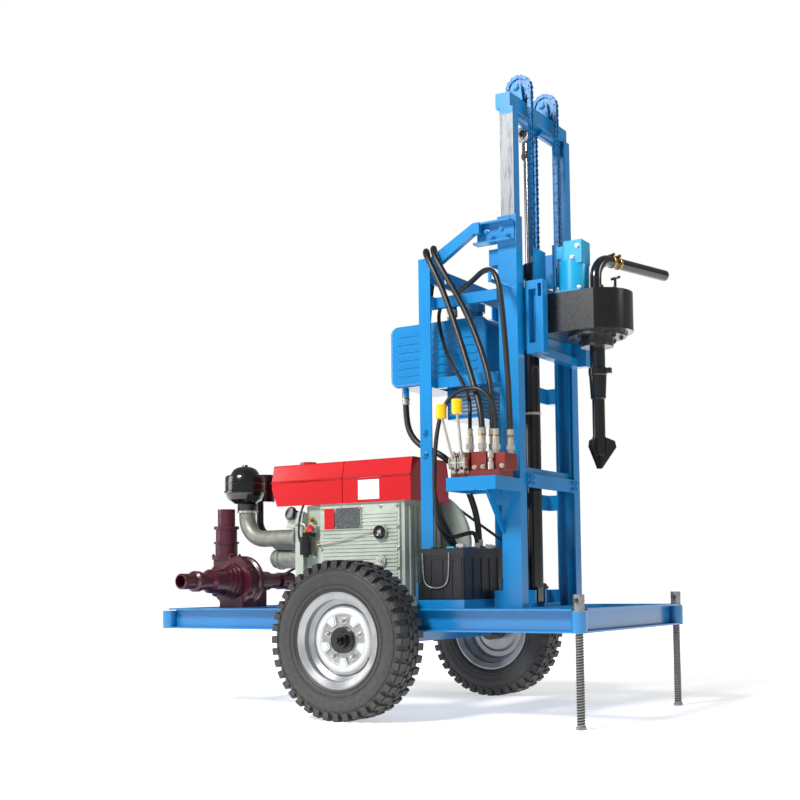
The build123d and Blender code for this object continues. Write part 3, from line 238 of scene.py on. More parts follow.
finish_table = {
    "blue_gloss_enamel": dict(colour="057CBB", roughness=0.26, coat=0.7, grain_mm=6, grain=0.12,
                              mottle="035A92", mottle_mm=260, dust=0.06),
    "blue_over_worn_steel": dict(colour="057CBB", roughness=0.26, coat=0.5, grain_mm=6, grain=0.12,
                                 mottle="035A92", mottle_mm=260),
    "blue_chain_paint": dict(colour="0A80C0", roughness=0.34, coat=0.4, grain_mm=3, grain=0.2,
                             mottle="0A3E72", mottle_mm=12, mottle_share=0.8),
    "white_label_vinyl": dict(colour="E9EAEC", roughness=0.3, coat=0.3, grain_mm=20, grain=0.05),
    "engraved_aluminium": dict(colour="6E7274", roughness=0.34, metal=0.8, mottle="34373A", mottle_mm=10,
                               mottle_share=0.7),
    "red_gloss_enamel": dict(colour="BE0D18", roughness=0.22, coat=0.8, grain_mm=8, grain=0.08,
                             mottle="A80A16", mottle_mm=220),
    "grey_painted_casting": dict(colour="B1BAAE", roughness=0.42, coat=0.2, grain_mm=5, grain=0.5,
                                 mottle="8C968A", mottle_mm=90, mottle_share=0.6),
    "maroon_painted_casting": dict(colour="480A20", roughness=0.3, coat=0.4, grain_mm=6, grain=0.7,
                                   mottle="33061A", mottle_mm=80, mottle_share=0.6),
    "brown_red_valve_iron": dict(colour="7B2117", roughness=0.38, coat=0.3, grain_mm=4, grain=0.4,
                                 mottle="4F130D", mottle_mm=40, mottle_share=0.6),
    "cyan_enamel": dict(colour="12A2D6", roughness=0.3, coat=0.5, grain_mm=5, grain=0.2,
                        mottle="0C7FAE", mottle_mm=60),
    # Its lighter speckles are partly wear and partly painted glints of a speckled reflection.
    "black_rough_casting": dict(colour="0E0F11", roughness=0.3, coat=0.4, grain_mm=3, grain=0.5,
                                mottle="1D1F22", mottle_mm=50, wear_and_glint="393A3D", wear_and_glint_mm=5, wear_and_glint_share=0.5),
    "black_gloss_enamel": dict(colour="0C0D0F", roughness=0.2, coat=0.7, grain_mm=8, grain=0.1),
    # Galvanised steel on the screw jacks; on the battery strap its light grey is a painted highlight.
    "galvanised_steel_and_strap_highlight": dict(colour="9EA0A0", roughness=0.4, metal=0.85, grain_mm=10, grain=0.2,
                             mottle="76797A", mottle_mm=14, mottle_share=0.7),
    "dark_threaded_steel": dict(colour="55504A", roughness=0.55, metal=0.6, grain_mm=3, grain=0.4,
                                mottle="3B342D", mottle_mm=25, mottle_share=0.8),
    "silver_rim_dark_hub": dict(colour="A4A6A9", roughness=0.32, metal=0.55, coat=0.3, grain_mm=6, grain=0.1,
                                mottle="74777B", mottle_mm=70, mottle_share=0.5, dust=0.2),
    "pale_wheel_paint": dict(colour="C9CBCC", roughness=0.34, metal=0.15, coat=0.3, grain_mm=6, grain=0.1),
    "gunmetal_casting": dict(colour="3F4448", roughness=0.42, metal=0.3, coat=0.2, grain_mm=3, grain=0.5,
                             mottle="24272A", mottle_mm=30),
    "hard_chrome": dict(colour="A2A5AB", roughness=0.16, metal=1.0),
    # Dark oiled steel; on the chain rollers its darkness is also painted shade in the gaps between the link
    # plates.
    "oiled_steel_and_gap_shade": dict(colour="3C3D3F", roughness=0.36, metal=0.8, grain_mm=3, grain=0.2,
                              mottle="232425", mottle_mm=20, mottle_share=0.8),
    "cast_aluminium": dict(colour="8E9087", roughness=0.45, metal=0.5, grain_mm=3, grain=0.5,
                           mottle="6B6D66", mottle_mm=30, mottle_share=0.7),
    "tyre_rubber": dict(colour="202123", roughness=0.55, grain_mm=3, grain=0.25,
                        mottle="27282A", mottle_mm=60, mottle_share=0.7, dust=0.22),
    "hose_rubber": dict(colour="101114", roughness=0.4, grain_mm=2, grain=0.12),
    "belt_rubber": dict(colour="17171A", roughness=0.6, grain_mm=3, grain=0.2),
    "battery_polypropylene": dict(colour="1B1C1F", roughness=0.38, grain_mm=2, grain=0.1),
    "yellow_knob_plastic": dict(colour="E3B505", roughness=0.26, coat=0.4),
    "zinc_plated_steel": dict(colour="CDCAC2", roughness=0.3, metal=0.8, mottle="A5A197", mottle_mm=18,
                              mottle_share=0.5),
    "brass": dict(colour="B08D4A", roughness=0.28, metal=1.0, mottle="8C6D34", mottle_mm=15),
}
finishes = {name: surface(name, **settings) for name, settings in finish_table.items()}
wear_webs(finishes["blue_over_worn_steel"])
darken_hub(finishes["silver_rim_dark_hub"])
node_finish = {
    "blue_gloss_enamel": (
        "frame", "sleeves_left", "sleeves_right", "axle", "mast_support", "mast_outer", "carriage",
        "oil_tank", "oil_cooler", "valve_shelf", "battery_tray", "hose_hook_bar",
    ),
    "red_gloss_enamel": ("fuel_tank", "hopper_cover"),
    "grey_painted_casting": ("engine_crankcase", "cylinder_head", "flywheel"),
    "maroon_painted_casting": ("mud_pump", "mud_pump_pulley"),
    "brown_red_valve_iron": ("control_valve",),
    "cyan_enamel": ("hydraulic_motor", "battery_hold_down"),
    "black_rough_casting": ("gearbox", "hydraulic_pump"),
    "black_gloss_enamel": (
        "gearbox_cover", "spindle", "drill_bit", "air_cleaner", "silencer", "lift_barrel", "water_pipe",
        "fuel_filter",
    ),
    "galvanised_steel_and_strap_highlight": ("screw_jacks",),
    "zinc_plated_steel": ("valve_levers", "valve_fittings"),
    "silver_rim_dark_hub": ("wheel_near", "wheel_far"),
    "blue_over_worn_steel": ("mast_inner",),
    "hard_chrome": ("lift_rod",),
    "blue_chain_paint": ("sprockets",),
    "oiled_steel_and_gap_shade": ("chains_front", "chains_rear", "chains_top"),
    "cast_aluminium": ("intake_elbow",),
    "tyre_rubber": ("tyre_near", "tyre_far"),
    "belt_rubber": ("belt_to_hydraulic_pump", "belt_to_mud_pump"),
    "hose_rubber": (
        "hose_post_first", "hose_post_second", "hose_hook", "hose_return", "hose_pressure", "hose_suction",
    ),
    "battery_polypropylene": ("battery",),
    "yellow_knob_plastic": ("lever_knobs",),
}
for finish, names in node_finish.items():
    for name in names:
        nodes[name].data.materials.clear()
        nodes[name].data.materials.append(finishes[finish])


# Shapes: each is a list of vertices in metres and a list of faces, made from sizes in mm
def lathe(centre, axis, profile, sides=28, ring=False, turn=0.0):
    """A turned shape from (radius, place along the axis) pairs, closed at both ends or round into a ring."""
    direction = Vector(axis).normalized()
    across = direction.orthogonal().normalized()
    other = direction.cross(across)
    vertices = []
    for radius, along in profile:
        for corner in range(sides):
            angle = turn + corner * math.tau / sides
            arm = across * math.cos(angle) + other * math.sin(angle)
            vertices.append(mm(*centre) + direction * mm(along) + arm * mm(radius))
    faces = []
    rows = len(profile)
    for row in range(rows if ring else rows - 1):
        above = (row + 1) % rows * sides
        for corner in range(sides):
            following = (corner + 1) % sides
            faces.append((row * sides + corner, row * sides + following, above + following, above + corner))
    if not ring:
        faces.append(tuple(range(sides - 1, -1, -1)))
        faces.append(tuple(range((rows - 1) * sides, rows * sides)))
    return vertices, faces


def hexagon(centre, axis, radius, height):
    """A nut or a bolt's head, by its radius across corners."""
    return lathe(centre, axis, [(radius, 0), (radius, height)], 6)


def plate(corners, depth):
    """A flat plate: its outline and the way it reaches back."""
    front = [mm(*corner) for corner in corners]
    back = [corner + mm(*depth) for corner in front]
    count = len(front)
    faces = [tuple(range(count)), tuple(range(2 * count - 1, count - 1, -1))]
    for corner in range(count):
        following = (corner + 1) % count
        faces.append((corner, count + corner, count + following, following))
    return front + back, faces


def brick(low, high):
    """A box between two corners."""
    low_x, low_y, low_z = low
    high_x, high_y, high_z = high
    corners = [(low_x, low_y, low_z), (high_x, low_y, low_z), (high_x, high_y, low_z), (low_x, high_y, low_z)]
    return plate(corners, (0, 0, high_z - low_z))


# Pieces
def piece(name, shapes, finish, body, smooth_under=0.0):
    """One mesh piece of several shapes, that rides on a body. Without a body it is left unattached."""
    vertices = []
    faces = []
    for more_vertices, more_faces in shapes:
        offset = len(vertices)
        vertices.extend(more_vertices)
        faces.extend(tuple(index + offset for index in face) for face in more_faces)
    mesh = bpy.data.meshes.new(name)
    mesh.from_pydata(vertices, [], faces)
    mesh.materials.append(finishes[finish])
    mesh.validate()
    outward = bmesh.new()
    outward.from_mesh(mesh)
    bmesh.ops.recalc_face_normals(outward, faces=outward.faces)
    outward.to_mesh(mesh)
    outward.free()
    made = bpy.data.objects.new(name, mesh)
    scene.collection.objects.link(made)
    if smooth_under:
        mesh.polygons.foreach_set("use_smooth", [True] * len(mesh.polygons))
        mesh.set_sharp_from_angle(angle=math.radians(smooth_under))
    if body:
        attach(made, body)
    return made


def bolts(name, rows, finish, body):
    """Bolts from a table of place, direction and width across corners: washer, hexagon and threaded end."""
    shapes = []
    for number, (place, direction, width) in enumerate(rows):
        half = width / 2
        washer_top = 0.18 * half
        head_top = washer_top + 0.85 * half
        shapes.append(lathe(place, direction, [(1.15 * half, 0), (1.15 * half, washer_top)], 16))
        shapes.append(lathe(place, direction, [(half, washer_top), (half, head_top)], 6, turn=0.7 * number))
        shapes.append(lathe(place, direction, [(0.5 * half, half), (0.5 * half, 1.5 * half)], 10))
    return piece(name, shapes, finish, body)


def route_curve(name, points, diameter, finish):
    """A round tube on a smooth curve through a route's control points."""
    curve = bpy.data.curves.new(name, "CURVE")
    curve.dimensions = "3D"
    spline = curve.splines.new("NURBS")
    spline.points.add(len(points) - 1)
    for target, point in zip(spline.points, points):
        target.co = (*mm(*point), 1.0)
    spline.order_u = 3
    spline.use_endpoint_u = True
    curve.resolution_u = 12
    curve.bevel_depth = mm(diameter / 2)
    curve.bevel_resolution = 5
    curve.use_fill_caps = True
    curve.materials.append(finishes[finish])
    made = bpy.data.objects.new(name, curve)
    scene.collection.objects.link(made)
    return made


def spline_line(curve_object):
    """The points of a route's smooth line, and its length."""
    plain = curve_object.copy()
    plain.data = curve_object.data.copy()
    plain.data.bevel_depth = 0
    scene.collection.objects.link(plain)
    bpy.context.view_layer.update()
    mesh = bpy.data.meshes.new_from_object(plain)
    line = [vertex.co.copy() for vertex in mesh.vertices]
    bpy.data.objects.remove(plain)
    bpy.data.meshes.remove(mesh)
    return line, sum((b - a).length for a, b in zip(line, line[1:]))


def thin_pipe(name, points, diameter, finish, body):
    """A rigid pipe bent through a few points, as a mesh that rides on a body."""
    curve = route_curve(name + "_route", points, diameter, finish)
    bpy.context.view_layer.update()
    mesh = bpy.data.meshes.new_from_object(curve)
    bpy.data.objects.remove(curve)
    made = bpy.data.objects.new(name, mesh)
    scene.collection.objects.link(made)
    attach(made, body)
    return made


# Free hoses: the routes of the CAD tubes, as control points
hose_table = [
    # name, diameter, points
    ("hose_post_first", 22, [
        (515, -385, 1000.3), (515, -385, 1075), (472, -364, 1190), (406, -344, 1365), (342, -336, 1535),
        (287, -338, 1652), (254, -326, 1704), (238, -290, 1728), (220, -248, 1704), (200, -234, 1640),
        (182, -228, 1520), (176, -226, 1300), (178, -222, 1000), (188, -200, 800), (210, -130, 660),
        (226, -70, 606), (246, -50, 590), (274.7, -50, 590),
    ]),
    ("hose_post_second", 22, [
        (532, -338, 1000.3), (532, -338, 1075), (528, -338, 1180), (490, -326, 1304), (422, -318, 1462),
        (366, -332, 1570), (312, -338, 1662), (284, -322, 1714), (268, -285, 1734), (246, -240, 1716),
        (216, -206, 1655), (190, -196, 1545), (172, -194, 1300), (172, -192, 1000), (180, -165, 800),
        (196, -80, 670), (214, -26, 588), (244, -8, 545), (274.7, -8, 545),
    ]),
    ("hose_hook", 20, [
        (600, -335, 992.3), (600, -335, 1070), (606, -362, 1250), (602, -380, 1420), (594, -388, 1530),
        (566, -380, 1586), (505, -340, 1602), (420, -262, 1592), (330, -180, 1592), (262, -104, 1590),
        (232, -66, 1578), (222, -60, 1550), (222, -60, 1517.3),
    ]),
    ("hose_return", 14, [
        (466, -385, 1000.3), (466, -385, 1060), (455, -360, 1130), (400, -322, 1215), (330, -290, 1300),
        (272, -240, 1395), (232, -200, 1480), (212, -150, 1542), (202, -95, 1562), (200, -60, 1548),
        (200, -60, 1517.3),
    ]),
    ("hose_pressure", 16, [
        (570, -385, 992.3), (570, -385, 1060), (560, -392, 1125), (520, -402, 1165), (462, -404, 1172),
        (398, -398, 1152), (344, -375, 1100), (308, -350, 1030), (288, -336, 930), (280, -326, 790),
        (282, -310, 690), (300, -250, 645), (320, -160, 668), (330, -98, 672), (330, -98, 605.3),
    ]),
    ("hose_suction", 24, [
        (20, -100, 1210.7), (20, -100, 1130), (40, -98, 1060), (90, -92, 1012), (160, -84, 985),
        (225, -70, 930), (268, -40, 830), (290, -10, 710), (290, -10, 620.3),
    ]),
]

for name, diameter, points in hose_table:
    hose = route_curve(name + "_rubber", points, diameter, "hose_rubber")
    line, length = spline_line(hose)
    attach(hose, "chassis")
    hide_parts(name)

# Lift chains: figure-eight link plates in alternating pairs, rollers and pins
chain_pitch = 19.05
chain_sides = (-110, 110)
sprocket_teeth = 15
sprocket_radius = chain_pitch / 2 / math.sin(math.pi / sprocket_teeth)
front_x = sprocket_x + sprocket_radius
rear_x = sprocket_x - sprocket_radius
plate_end_radius = 8.3
inner_plates = (5.5, 8.7)
outer_plates = (9, 12)
roller_radius = 6
roller_length = 10.8
pin_length = 24.8
front_anchor_z = 1690
rear_anchor_z = 1745

link_outline = []
for end in (1, -1):
    for step in range(7):
        angle = math.radians(-38 + step * 256 / 6)
        along = chain_pitch / 2 + plate_end_radius * math.sin(angle)
        link_outline.append((plate_end_radius * math.cos(angle) * end, along * end))


def chain_shapes(joints, first_parity):
    """Link plates and rollers of both chains along joints given as (x, z), outer and inner plates in turn."""
    roller = [(roller_radius, 0), (roller_radius, roller_length)]
    pin = [(2.6, 0), (3.2, 0.5), (3.2, pin_length - 0.5), (2.6, pin_length)]
    shapes = []
    rollers = []
    for run_y in chain_sides:
        for number, (start, end) in enumerate(zip(joints, joints[1:])):
            low, high = outer_plates if (number + first_parity) % 2 else inner_plates
            along = Vector((end[0] - start[0], 0, end[1] - start[1])).normalized()
            across = Vector((-along.z, 0, along.x))
            middle = Vector(((start[0] + end[0]) / 2, run_y, (start[1] + end[1]) / 2))
            for near, far in ((low, high), (-high, -low)):
                side = Vector((0, near, 0))
                corners = [tuple(middle + across * u + along * v + side) for u, v in link_outline]
                shapes.append(plate(corners, (0, far - near, 0)))
        for x, z in joints:
            rollers.append(lathe((x, run_y - roller_length / 2, z), to_far_side, roller, 12))
            shapes.append(lathe((x, run_y - pin_length / 2, z), to_far_side, pin, 8))
    return shapes, rollers


def chain_anchors(x, foot_z):
    """The blocks that hold both chains at the end of a straight run."""
    return [brick((x - 6, y - 10, foot_z), (x + 6, y + 10, foot_z + 14)) for y in chain_sides]


front_joints = [(front_x, sprocket_z - chain_pitch * row) for row in range(34)]
rear_joints = [(rear_x, sprocket_z - chain_pitch * (row + 0.5)) for row in range(31)]
wrap_joints = []
for step in range(8):
    angle = math.radians(360 / sprocket_teeth * step)
    over_x = sprocket_x + sprocket_radius * math.cos(angle)
    wrap_joints.append((over_x, sprocket_z + sprocket_radius * math.sin(angle)))
wrap_joints.append(rear_joints[0])
front_shapes, front_rollers = chain_shapes(front_joints, 0)
rear_shapes, rear_rollers = chain_shapes(rear_joints, 1)
wrap_shapes, wrap_rollers = chain_shapes(wrap_joints, 1)
front_shapes += chain_anchors(front_x, front_anchor_z)
rear_shapes += chain_anchors(rear_x, rear_anchor_z)

links_front = piece("chain_links_front", front_shapes, "blue_chain_paint", None)
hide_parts("chains_front")
# Rollers kept dark: oiled steel, and painted shade in the gaps between the link plates.
rollers_front = piece("chain_rollers_front", front_rollers, "oiled_steel_and_gap_shade", None, 40)
for run in (links_front, rollers_front):
    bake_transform(run)
links_rear = piece("chain_links_rear", rear_shapes, "blue_chain_paint", None)
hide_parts("chains_rear")
rollers_rear = piece("chain_rollers_rear", rear_rollers, "oiled_steel_and_gap_shade", None, 40)
for run in (links_rear, rollers_rear):
    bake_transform(run)
links_wrap = piece("chain_links_wrap", wrap_shapes, "blue_chain_paint", "inner_mast")
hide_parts("chains_top")
piece("chain_rollers_wrap", wrap_rollers, "oiled_steel_and_gap_shade", "inner_mast", 40)

anchor_nuts = [hexagon((rear_x, y, z), upward, 10, 9) for y in chain_sides for z in (1651, 1680)]
piece("chain_anchor_nuts", anchor_nuts, "zinc_plated_steel", "chassis")
pin_nuts = []
for run_y in chain_sides:
    for way in (-1, 1):
        pin_nuts.append(hexagon((sprocket_x, run_y + way * 28.2, sprocket_z), (0, way, 0), 14, 9))
piece("sprocket_pin_nuts", pin_nuts, "blue_gloss_enamel", "inner_mast")

# Wheels: tread blocks, rings on the sidewalls, pressed pads, studs and valves
lug_count = 40
stud_count = 5
stud_circle = 70
tread_side = 71
valve_profile = [(5, 0), (5, 8), (3.4, 10), (3.4, 28), (4.2, 29), (4.2, 36), (2, 37)]
stud_profile = [(13, 0), (13, 2), (6, 3), (6, 18), (5, 19)]
bulge_profile = [
    (88.5, 12.3), (91, 17), (95, 21.5), (100, 24.5), (106, 25.5), (111, 24.5), (116, 21.5), (120, 17.3),
    (126, 11.5),
]
pad_steps = [
    # foot and rise along the axle, inner and outer radius, half the angle at each
    (11.5, 7, 63, 100, 9, 14),
    (18, 3, 69, 100, 6, 11),
]


def on_wheel(radius, angle, y):
    """A point at a radius and an angle round the axle."""
    return axle_x + radius * math.cos(angle), y, axle_z + radius * math.sin(angle)


def radial_block(wheel_y, angle, radii, widths, across):
    """A block on a tyre: inner and outer radius, its width at each, and its reach along the axle."""
    out = Vector((math.cos(angle), 0, -math.sin(angle)))
    along = Vector((-math.sin(angle), 0, -math.cos(angle)))
    low, high = sorted(across)
    foot = Vector((axle_x, wheel_y + low, axle_z))
    corners = []
    for radius, width, signs in zip(radii, widths, ((1, -1), (-1, 1))):
        corners += [tuple(foot + out * radius + along * sign * width / 2) for sign in signs]
    return plate(corners, (0, high - low, 0))


def tread_blocks(wheel_y):
    """Shoulder blocks and centre blocks, with one side half a lug further round than the other."""
    shapes = []
    lag = math.radians(2.2)
    for lug in range(lug_count):
        for edge, offset in ((-1, 0), (1, 0.5)):
            angle = math.radians(360 / lug_count * (lug + offset))
            shapes.append(radial_block(wheel_y, angle, (254, 279), (20, 25), (edge * 62, edge * tread_side)))
            shapes.append(radial_block(wheel_y, angle + lag, (274, 283.5), (33, 31), (edge * 3, edge * 22)))
    return shapes


def tyre_rings(wheel_y):
    """Moulded rings on both sidewalls, each by its radius and its place along the axle."""
    shapes = []
    for way in (-1, 1):
        for radius, rise in ((181, 67.5), (196, 70.2), (200, 70.7), (248, 72.6)):
            section = [(radius - 1.6, rise - 2), (radius - 0.6, rise + 1)]
            section += [(radius + 0.6, rise + 1), (radius + 1.6, rise - 2)]
            shapes.append(lathe((axle_x, wheel_y, axle_z), (0, way, 0), section, 96, ring=True))
    return shapes


def wheel_face(wheel_y, way):
    """Pressed pads between the studs, and the bulge round them."""
    shapes = []
    for spoke in range(stud_count):
        middle = math.radians(126 + 360 / stud_count * spoke)
        for foot, rise, inner, outer, inner_half, outer_half in pad_steps:
            outline = [(inner, -inner_half), (outer, -outer_half), (outer + 4, 0), (outer, outer_half)]
            outline.append((inner, inner_half))
            y = wheel_y + way * foot
            corners = [on_wheel(radius, middle + math.radians(turn), y) for radius, turn in outline]
            shapes.append(plate(corners, (0, way * rise, 0)))
    shapes.append(lathe((axle_x, wheel_y, axle_z), (0, way, 0), bulge_profile, 72, ring=True))
    return shapes


def wheel_studs(wheel_y, way):
    """The nuts with their stud ends on the bolt circle."""
    shapes = []
    for spoke in range(stud_count):
        angle = math.radians(90 + 360 / stud_count * spoke)
        shapes.append(lathe(on_wheel(stud_circle, angle, wheel_y + way * 12), (0, way, 0), stud_profile, 16))
    return shapes


for name, way in (("near", -1), ("far", 1)):
    body = name + "_wheel"
    wheel_y = way * track_half
    piece(name + "_tyre_blocks", tread_blocks(wheel_y), "tyre_rubber", body)
    piece(name + "_tyre_rings", tyre_rings(wheel_y), "tyre_rubber", body, 30)
    piece(name + "_wheel_bosses", wheel_face(wheel_y, way), "pale_wheel_paint", body, 40)
    piece(name + "_wheel_studs", wheel_studs(wheel_y, way), "zinc_plated_steel", body, 30)
    valve = lathe((axle_x + 118, wheel_y + way * 8, axle_z - 58), (0.2, way, -0.1), valve_profile, 14)
    piece(name + "_tyre_valve", [valve], "hose_rubber", body, 30)

# Screw jacks: a coarse thread along each screw, and the turning pin through its head
jack_x = 902
jack_sides = (-453, 453)
thread_foot = 12
thread_pitch = 9
thread_turns = 33
thread_steps = 18
thread_section = [(11.6, -3.0), (14.4, -1.2), (14.4, 1.2), (11.6, 3.0)]


def jack_thread(y):
    """One thread as a ribbon that winds up the screw."""
    vertices = []
    faces = []
    steps = thread_turns * thread_steps
    for step in range(steps + 1):
        angle = step * math.tau / thread_steps
        height = thread_foot + thread_pitch * step / thread_steps
        for radius, rise in thread_section:
            x = jack_x + radius * math.cos(angle)
            vertices.append(mm(x, y + radius * math.sin(angle), height + rise))
    for step in range(steps):
        for row in range(len(thread_section) - 1):
            here = step * len(thread_section) + row
            above = here + len(thread_section)
            faces.append((here, above, above + 1, here + 1))
    return vertices, faces


threads = [jack_thread(y) for y in jack_sides]
piece("jack_threads", threads, "dark_threaded_steel", "chassis", 40)
turning_pins = [lathe((jack_x, y - 34, 420), to_far_side, [(7, 0), (7, 68)], 14) for y in jack_sides]
piece("jack_turning_pins", turning_pins, "dark_threaded_steel", "chassis", 30)

# Blank plates on the engine and the blank label on the hood
blank_plates = [
    # name, low corner, high corner, finish, slot
    ("hood_label", (-129, -221.2, 811), (-31, -220.1, 887), "white_label_vinyl", "engine_red"),
    ("plate_backing", (-290, -227, 696), (-112, -223.8, 784), "grey_painted_casting", "engine_grey"),
    ("maker_plate_red", (-287, -228.4, 699), (-240, -226.9, 781), "red_gloss_enamel", "engine_red"),
    ("maker_plate_blank", (-237, -228.4, 699), (-115, -226.9, 781), "engraved_aluminium", "elbow_aluminium"),
]
for name, low, high, finish, slot in blank_plates:
    piece(name, [brick(low, high)], finish, "chassis")
rivet = [(2.6, 0), (2.2, 1), (1, 1.6)]
rivets = [lathe((x, -228.3, z), to_near_side, rivet, 12) for x in (-232, -120) for z in (704, 776)]
piece("plate_rivets", rivets, "zinc_plated_steel", "chassis")

# Engine fittings on the side cover: crank ring, dog and plug
crank_x = -20
crank_z = 680
cover_face_y = -235.8
crank_ring = [(27, 0), (27, 6), (24, 9), (17, 9), (15, 5), (11, 3)]
crank_dog = [(9, 0), (9, 6), (6, 8)]
plug = [(17, 0), (17, 4), (10, 5), (10, 10)]
piece("crank_start_ring", [lathe((crank_x, cover_face_y, crank_z), to_near_side, crank_ring, 40)],
      "black_gloss_enamel", "chassis", 35)
piece("crank_dog_and_plug", [
    lathe((crank_x, cover_face_y, crank_z), to_near_side, crank_dog, 20),
    lathe((crank_x, cover_face_y + 2, 570), to_near_side, plug, 28),
], "zinc_plated_steel", "chassis", 30)

# Engine fittings at the cylinder head: rocker box with its cap, stop knob, cocks, cover and manifold
head_left_x = -440
rocker_cap = [(21, -30), (21, 22), (28, 23), (28, 34), (24, 38), (10, 39)]
piece("rocker_cap", [lathe((-452, -196, 762), (-0.25, -1, 0.3), rocker_cap, 32)], "black_gloss_enamel",
      "chassis", 35)
rocker_nut = [(7, 0), (7, 6), (4, 7)]
piece("rocker_box", [
    brick((-484, -212, 718), (head_left_x, -108, 758)),
    brick((-488, -216, 712), (head_left_x, -104, 718)),
    lathe((-478, -206, 758), upward, rocker_nut, 12),
    lathe((-478, -114, 758), upward, rocker_nut, 12),
], "grey_painted_casting", "chassis", 30)
stop_knob = [(8, 0), (8, 6), (15, 8), (16, 14), (14, 19), (6, 20)]
piece("stop_knob", [lathe((-352, -221.8, 705), to_near_side, stop_knob, 20)], "red_gloss_enamel", "chassis",
      35)
piece("fuel_cocks", [
    hexagon((-362, -205, 742), to_near_side, 11, 16),
    lathe((-362, -219, 742), to_near_side, [(7, 0), (7, 8), (4, 9), (4, 14)], 16),
    hexagon((-372, -236, 690), upward, 9, 10),
    hexagon((-318, -222, 640), to_near_side, 10, 10),
], "brass", "chassis")
cover_profile = [
    (44, 0), (47, 2), (47, 14), (41, 18), (41, 98), (45, 101), (45, 114), (41, 118), (38, 136), (28, 147),
    (12, 151),
]
piece("cylinder_cover", [lathe((head_left_x, -168, 590), to_engine, cover_profile, 40)], "cast_aluminium",
      "chassis", 35)
manifold_outline = [
    (head_left_x, -214, 676), (-548, -214, 672), (-574, -214, 650), (-548, -214, 628),
    (head_left_x, -214, 620),
]
piece("inlet_manifold", [
    plate(manifold_outline, (0, 54, 0)),
    brick((-452, -220, 612), (head_left_x, -150, 690)),
], "gunmetal_casting", "chassis")

# Engine pipes, throttle rod and fuel cap
engine_pipes = [
    # name, diameter, finish, points
    ("injector_pipe", 7, "zinc_plated_steel", [
        (-372, -236, 698), (-372, -238, 716), (-392, -238, 730), (-424, -230, 728), (-452, -206, 716),
        (-462, -170, 700),
    ]),
    ("fuel_pipe", 9, "hose_rubber", [
        (-396, -219, 800), (-398, -234, 780), (-408, -240, 700), (-400, -240, 650), (-386, -238, 640),
    ]),
    ("throttle_rod", 6, "zinc_plated_steel", [
        (-318, -232, 640), (-240, -236, 650), (-150, -236, 668), (-60, -236, 690),
    ]),
]
for name, diameter, finish, points in engine_pipes:
    thin_pipe(name, points, diameter, finish, "chassis")
fuel_cap = [(36, 0), (36, 8), (34, 9), (34, 17), (31, 19.5), (16, 21)]
piece("fuel_cap", [lathe((-476, -77, 968), upward, fuel_cap, 36)], "black_gloss_enamel", "chassis",
      35)

# Air cleaner: wide clip ring, domed lid and tapering bowl, on a black sleeve with its clamp
cleaner_x = -722
cleaner_y = -190
sleeve_x = -710
cleaner_profile = [
    (6, 820), (44, 820), (47, 824), (70, 838), (78, 856), (79, 864), (87, 866), (87, 874), (83, 877),
    (83, 902), (84, 903), (84, 907), (83, 908), (83, 930), (79, 938), (60, 943), (55, 954), (46, 966),
    (30, 974), (12, 978), (10, 985),
]
sleeve = [(40, 792), (41, 794), (41, 819), (40, 820)]
clamp_band = [(34, 782), (42.5, 783), (42.5, 791), (34, 792)]
air_cleaner = piece("air_cleaner_drum", [lathe((cleaner_x, cleaner_y, 0), upward, cleaner_profile, 56)],
                    "black_gloss_enamel", "chassis", 30)
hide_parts("air_cleaner")
piece("air_cleaner_sleeve", [lathe((sleeve_x, cleaner_y, 0), upward, sleeve, 40)], "hose_rubber", "chassis",
      30)
piece("elbow_clamp", [
    lathe((sleeve_x, cleaner_y, 0), upward, clamp_band, 40),
    brick((-676, cleaner_y - 10, 783), (-660, cleaner_y + 10, 791)),
], "zinc_plated_steel", "chassis", 30)

# Bolts from one table for each group: place, direction, width across corners
engine_side_y = -220
head_bolts = []
for z in (520, 610, 745):
    head_bolts.append(((head_left_x, -200, z), to_engine, 17))
    head_bolts.append(((head_left_x, -22, z), to_engine, 17))
    head_bolts.append(((-361, -190, z - 12), to_near_side, 15))
for x in (-303, -210, -118, -25, 50):
    for z in (462, 782):
        head_bolts.append(((x, engine_side_y, z), to_near_side, 13))
for z in (545, 620, 700):
    for x in (-306, 53):
        head_bolts.append(((x, engine_side_y, z), to_near_side, 13))
for x in (-350, -340, 90):
    head_bolts.append(((x, -190, 417), upward, 20))
bolts("engine_bolts", head_bolts, "zinc_plated_steel", "chassis")

frame_bolts = []
for side in (-1, 1):
    for z in (1037, 955):
        frame_bolts.append(((234, side * 310, z), (0, side, 0), 22))
for side in (-1, 1):
    for y in (172, 194):
        for z in (838, 862):
            frame_bolts.append(((602, side * y, z), to_mast, 17))
    for x in (500, 560):
        frame_bolts.append(((x, side * 297.6, 1752), (0, side, 0), 17))
bolts("frame_bolts", frame_bolts, "blue_gloss_enamel", "chassis")

pump_x = -730
pump_z = 500
pump_ear_circle = 104
outlet_x = -792
outlet_y = -227.5
outlet_circle = 54
pump_bolts = []
for ear in range(6):
    angle = math.radians(60 * ear + 30)
    z = pump_z + pump_ear_circle * math.sin(angle)
    if z > 440:
        pump_bolts.append(((pump_x + pump_ear_circle * math.cos(angle), -270, z), to_near_side, 17))
for step in range(4):
    angle = math.radians(45 + 90 * step)
    place = (outlet_x + outlet_circle * math.cos(angle), outlet_y + outlet_circle * math.sin(angle), 604)
    pump_bolts.append((place, upward, 13))
bolts("pump_bolts", pump_bolts, "maroon_painted_casting", "chassis")

lobe_reach = 62
lobe_half_width = 120
cover_bolts = []
for lobe_y in (-96, -48, 0, 48, 96):
    lobe_x = 832 + lobe_reach - lobe_reach * (lobe_y / lobe_half_width) ** 2
    cover_bolts.append(((lobe_x, lobe_y, 1537), upward, 17))
    cover_bolts.append(((lobe_x, lobe_y, 1392), downward, 17))
for step in range(8):
    angle = math.radians(22.5 + 45 * step)
    cover_bolts.append(((spindle_x + 88 * math.cos(angle), 88 * math.sin(angle), 1376), downward, 15))
bolts("gearbox_bolts", cover_bolts, "black_rough_casting", "head")

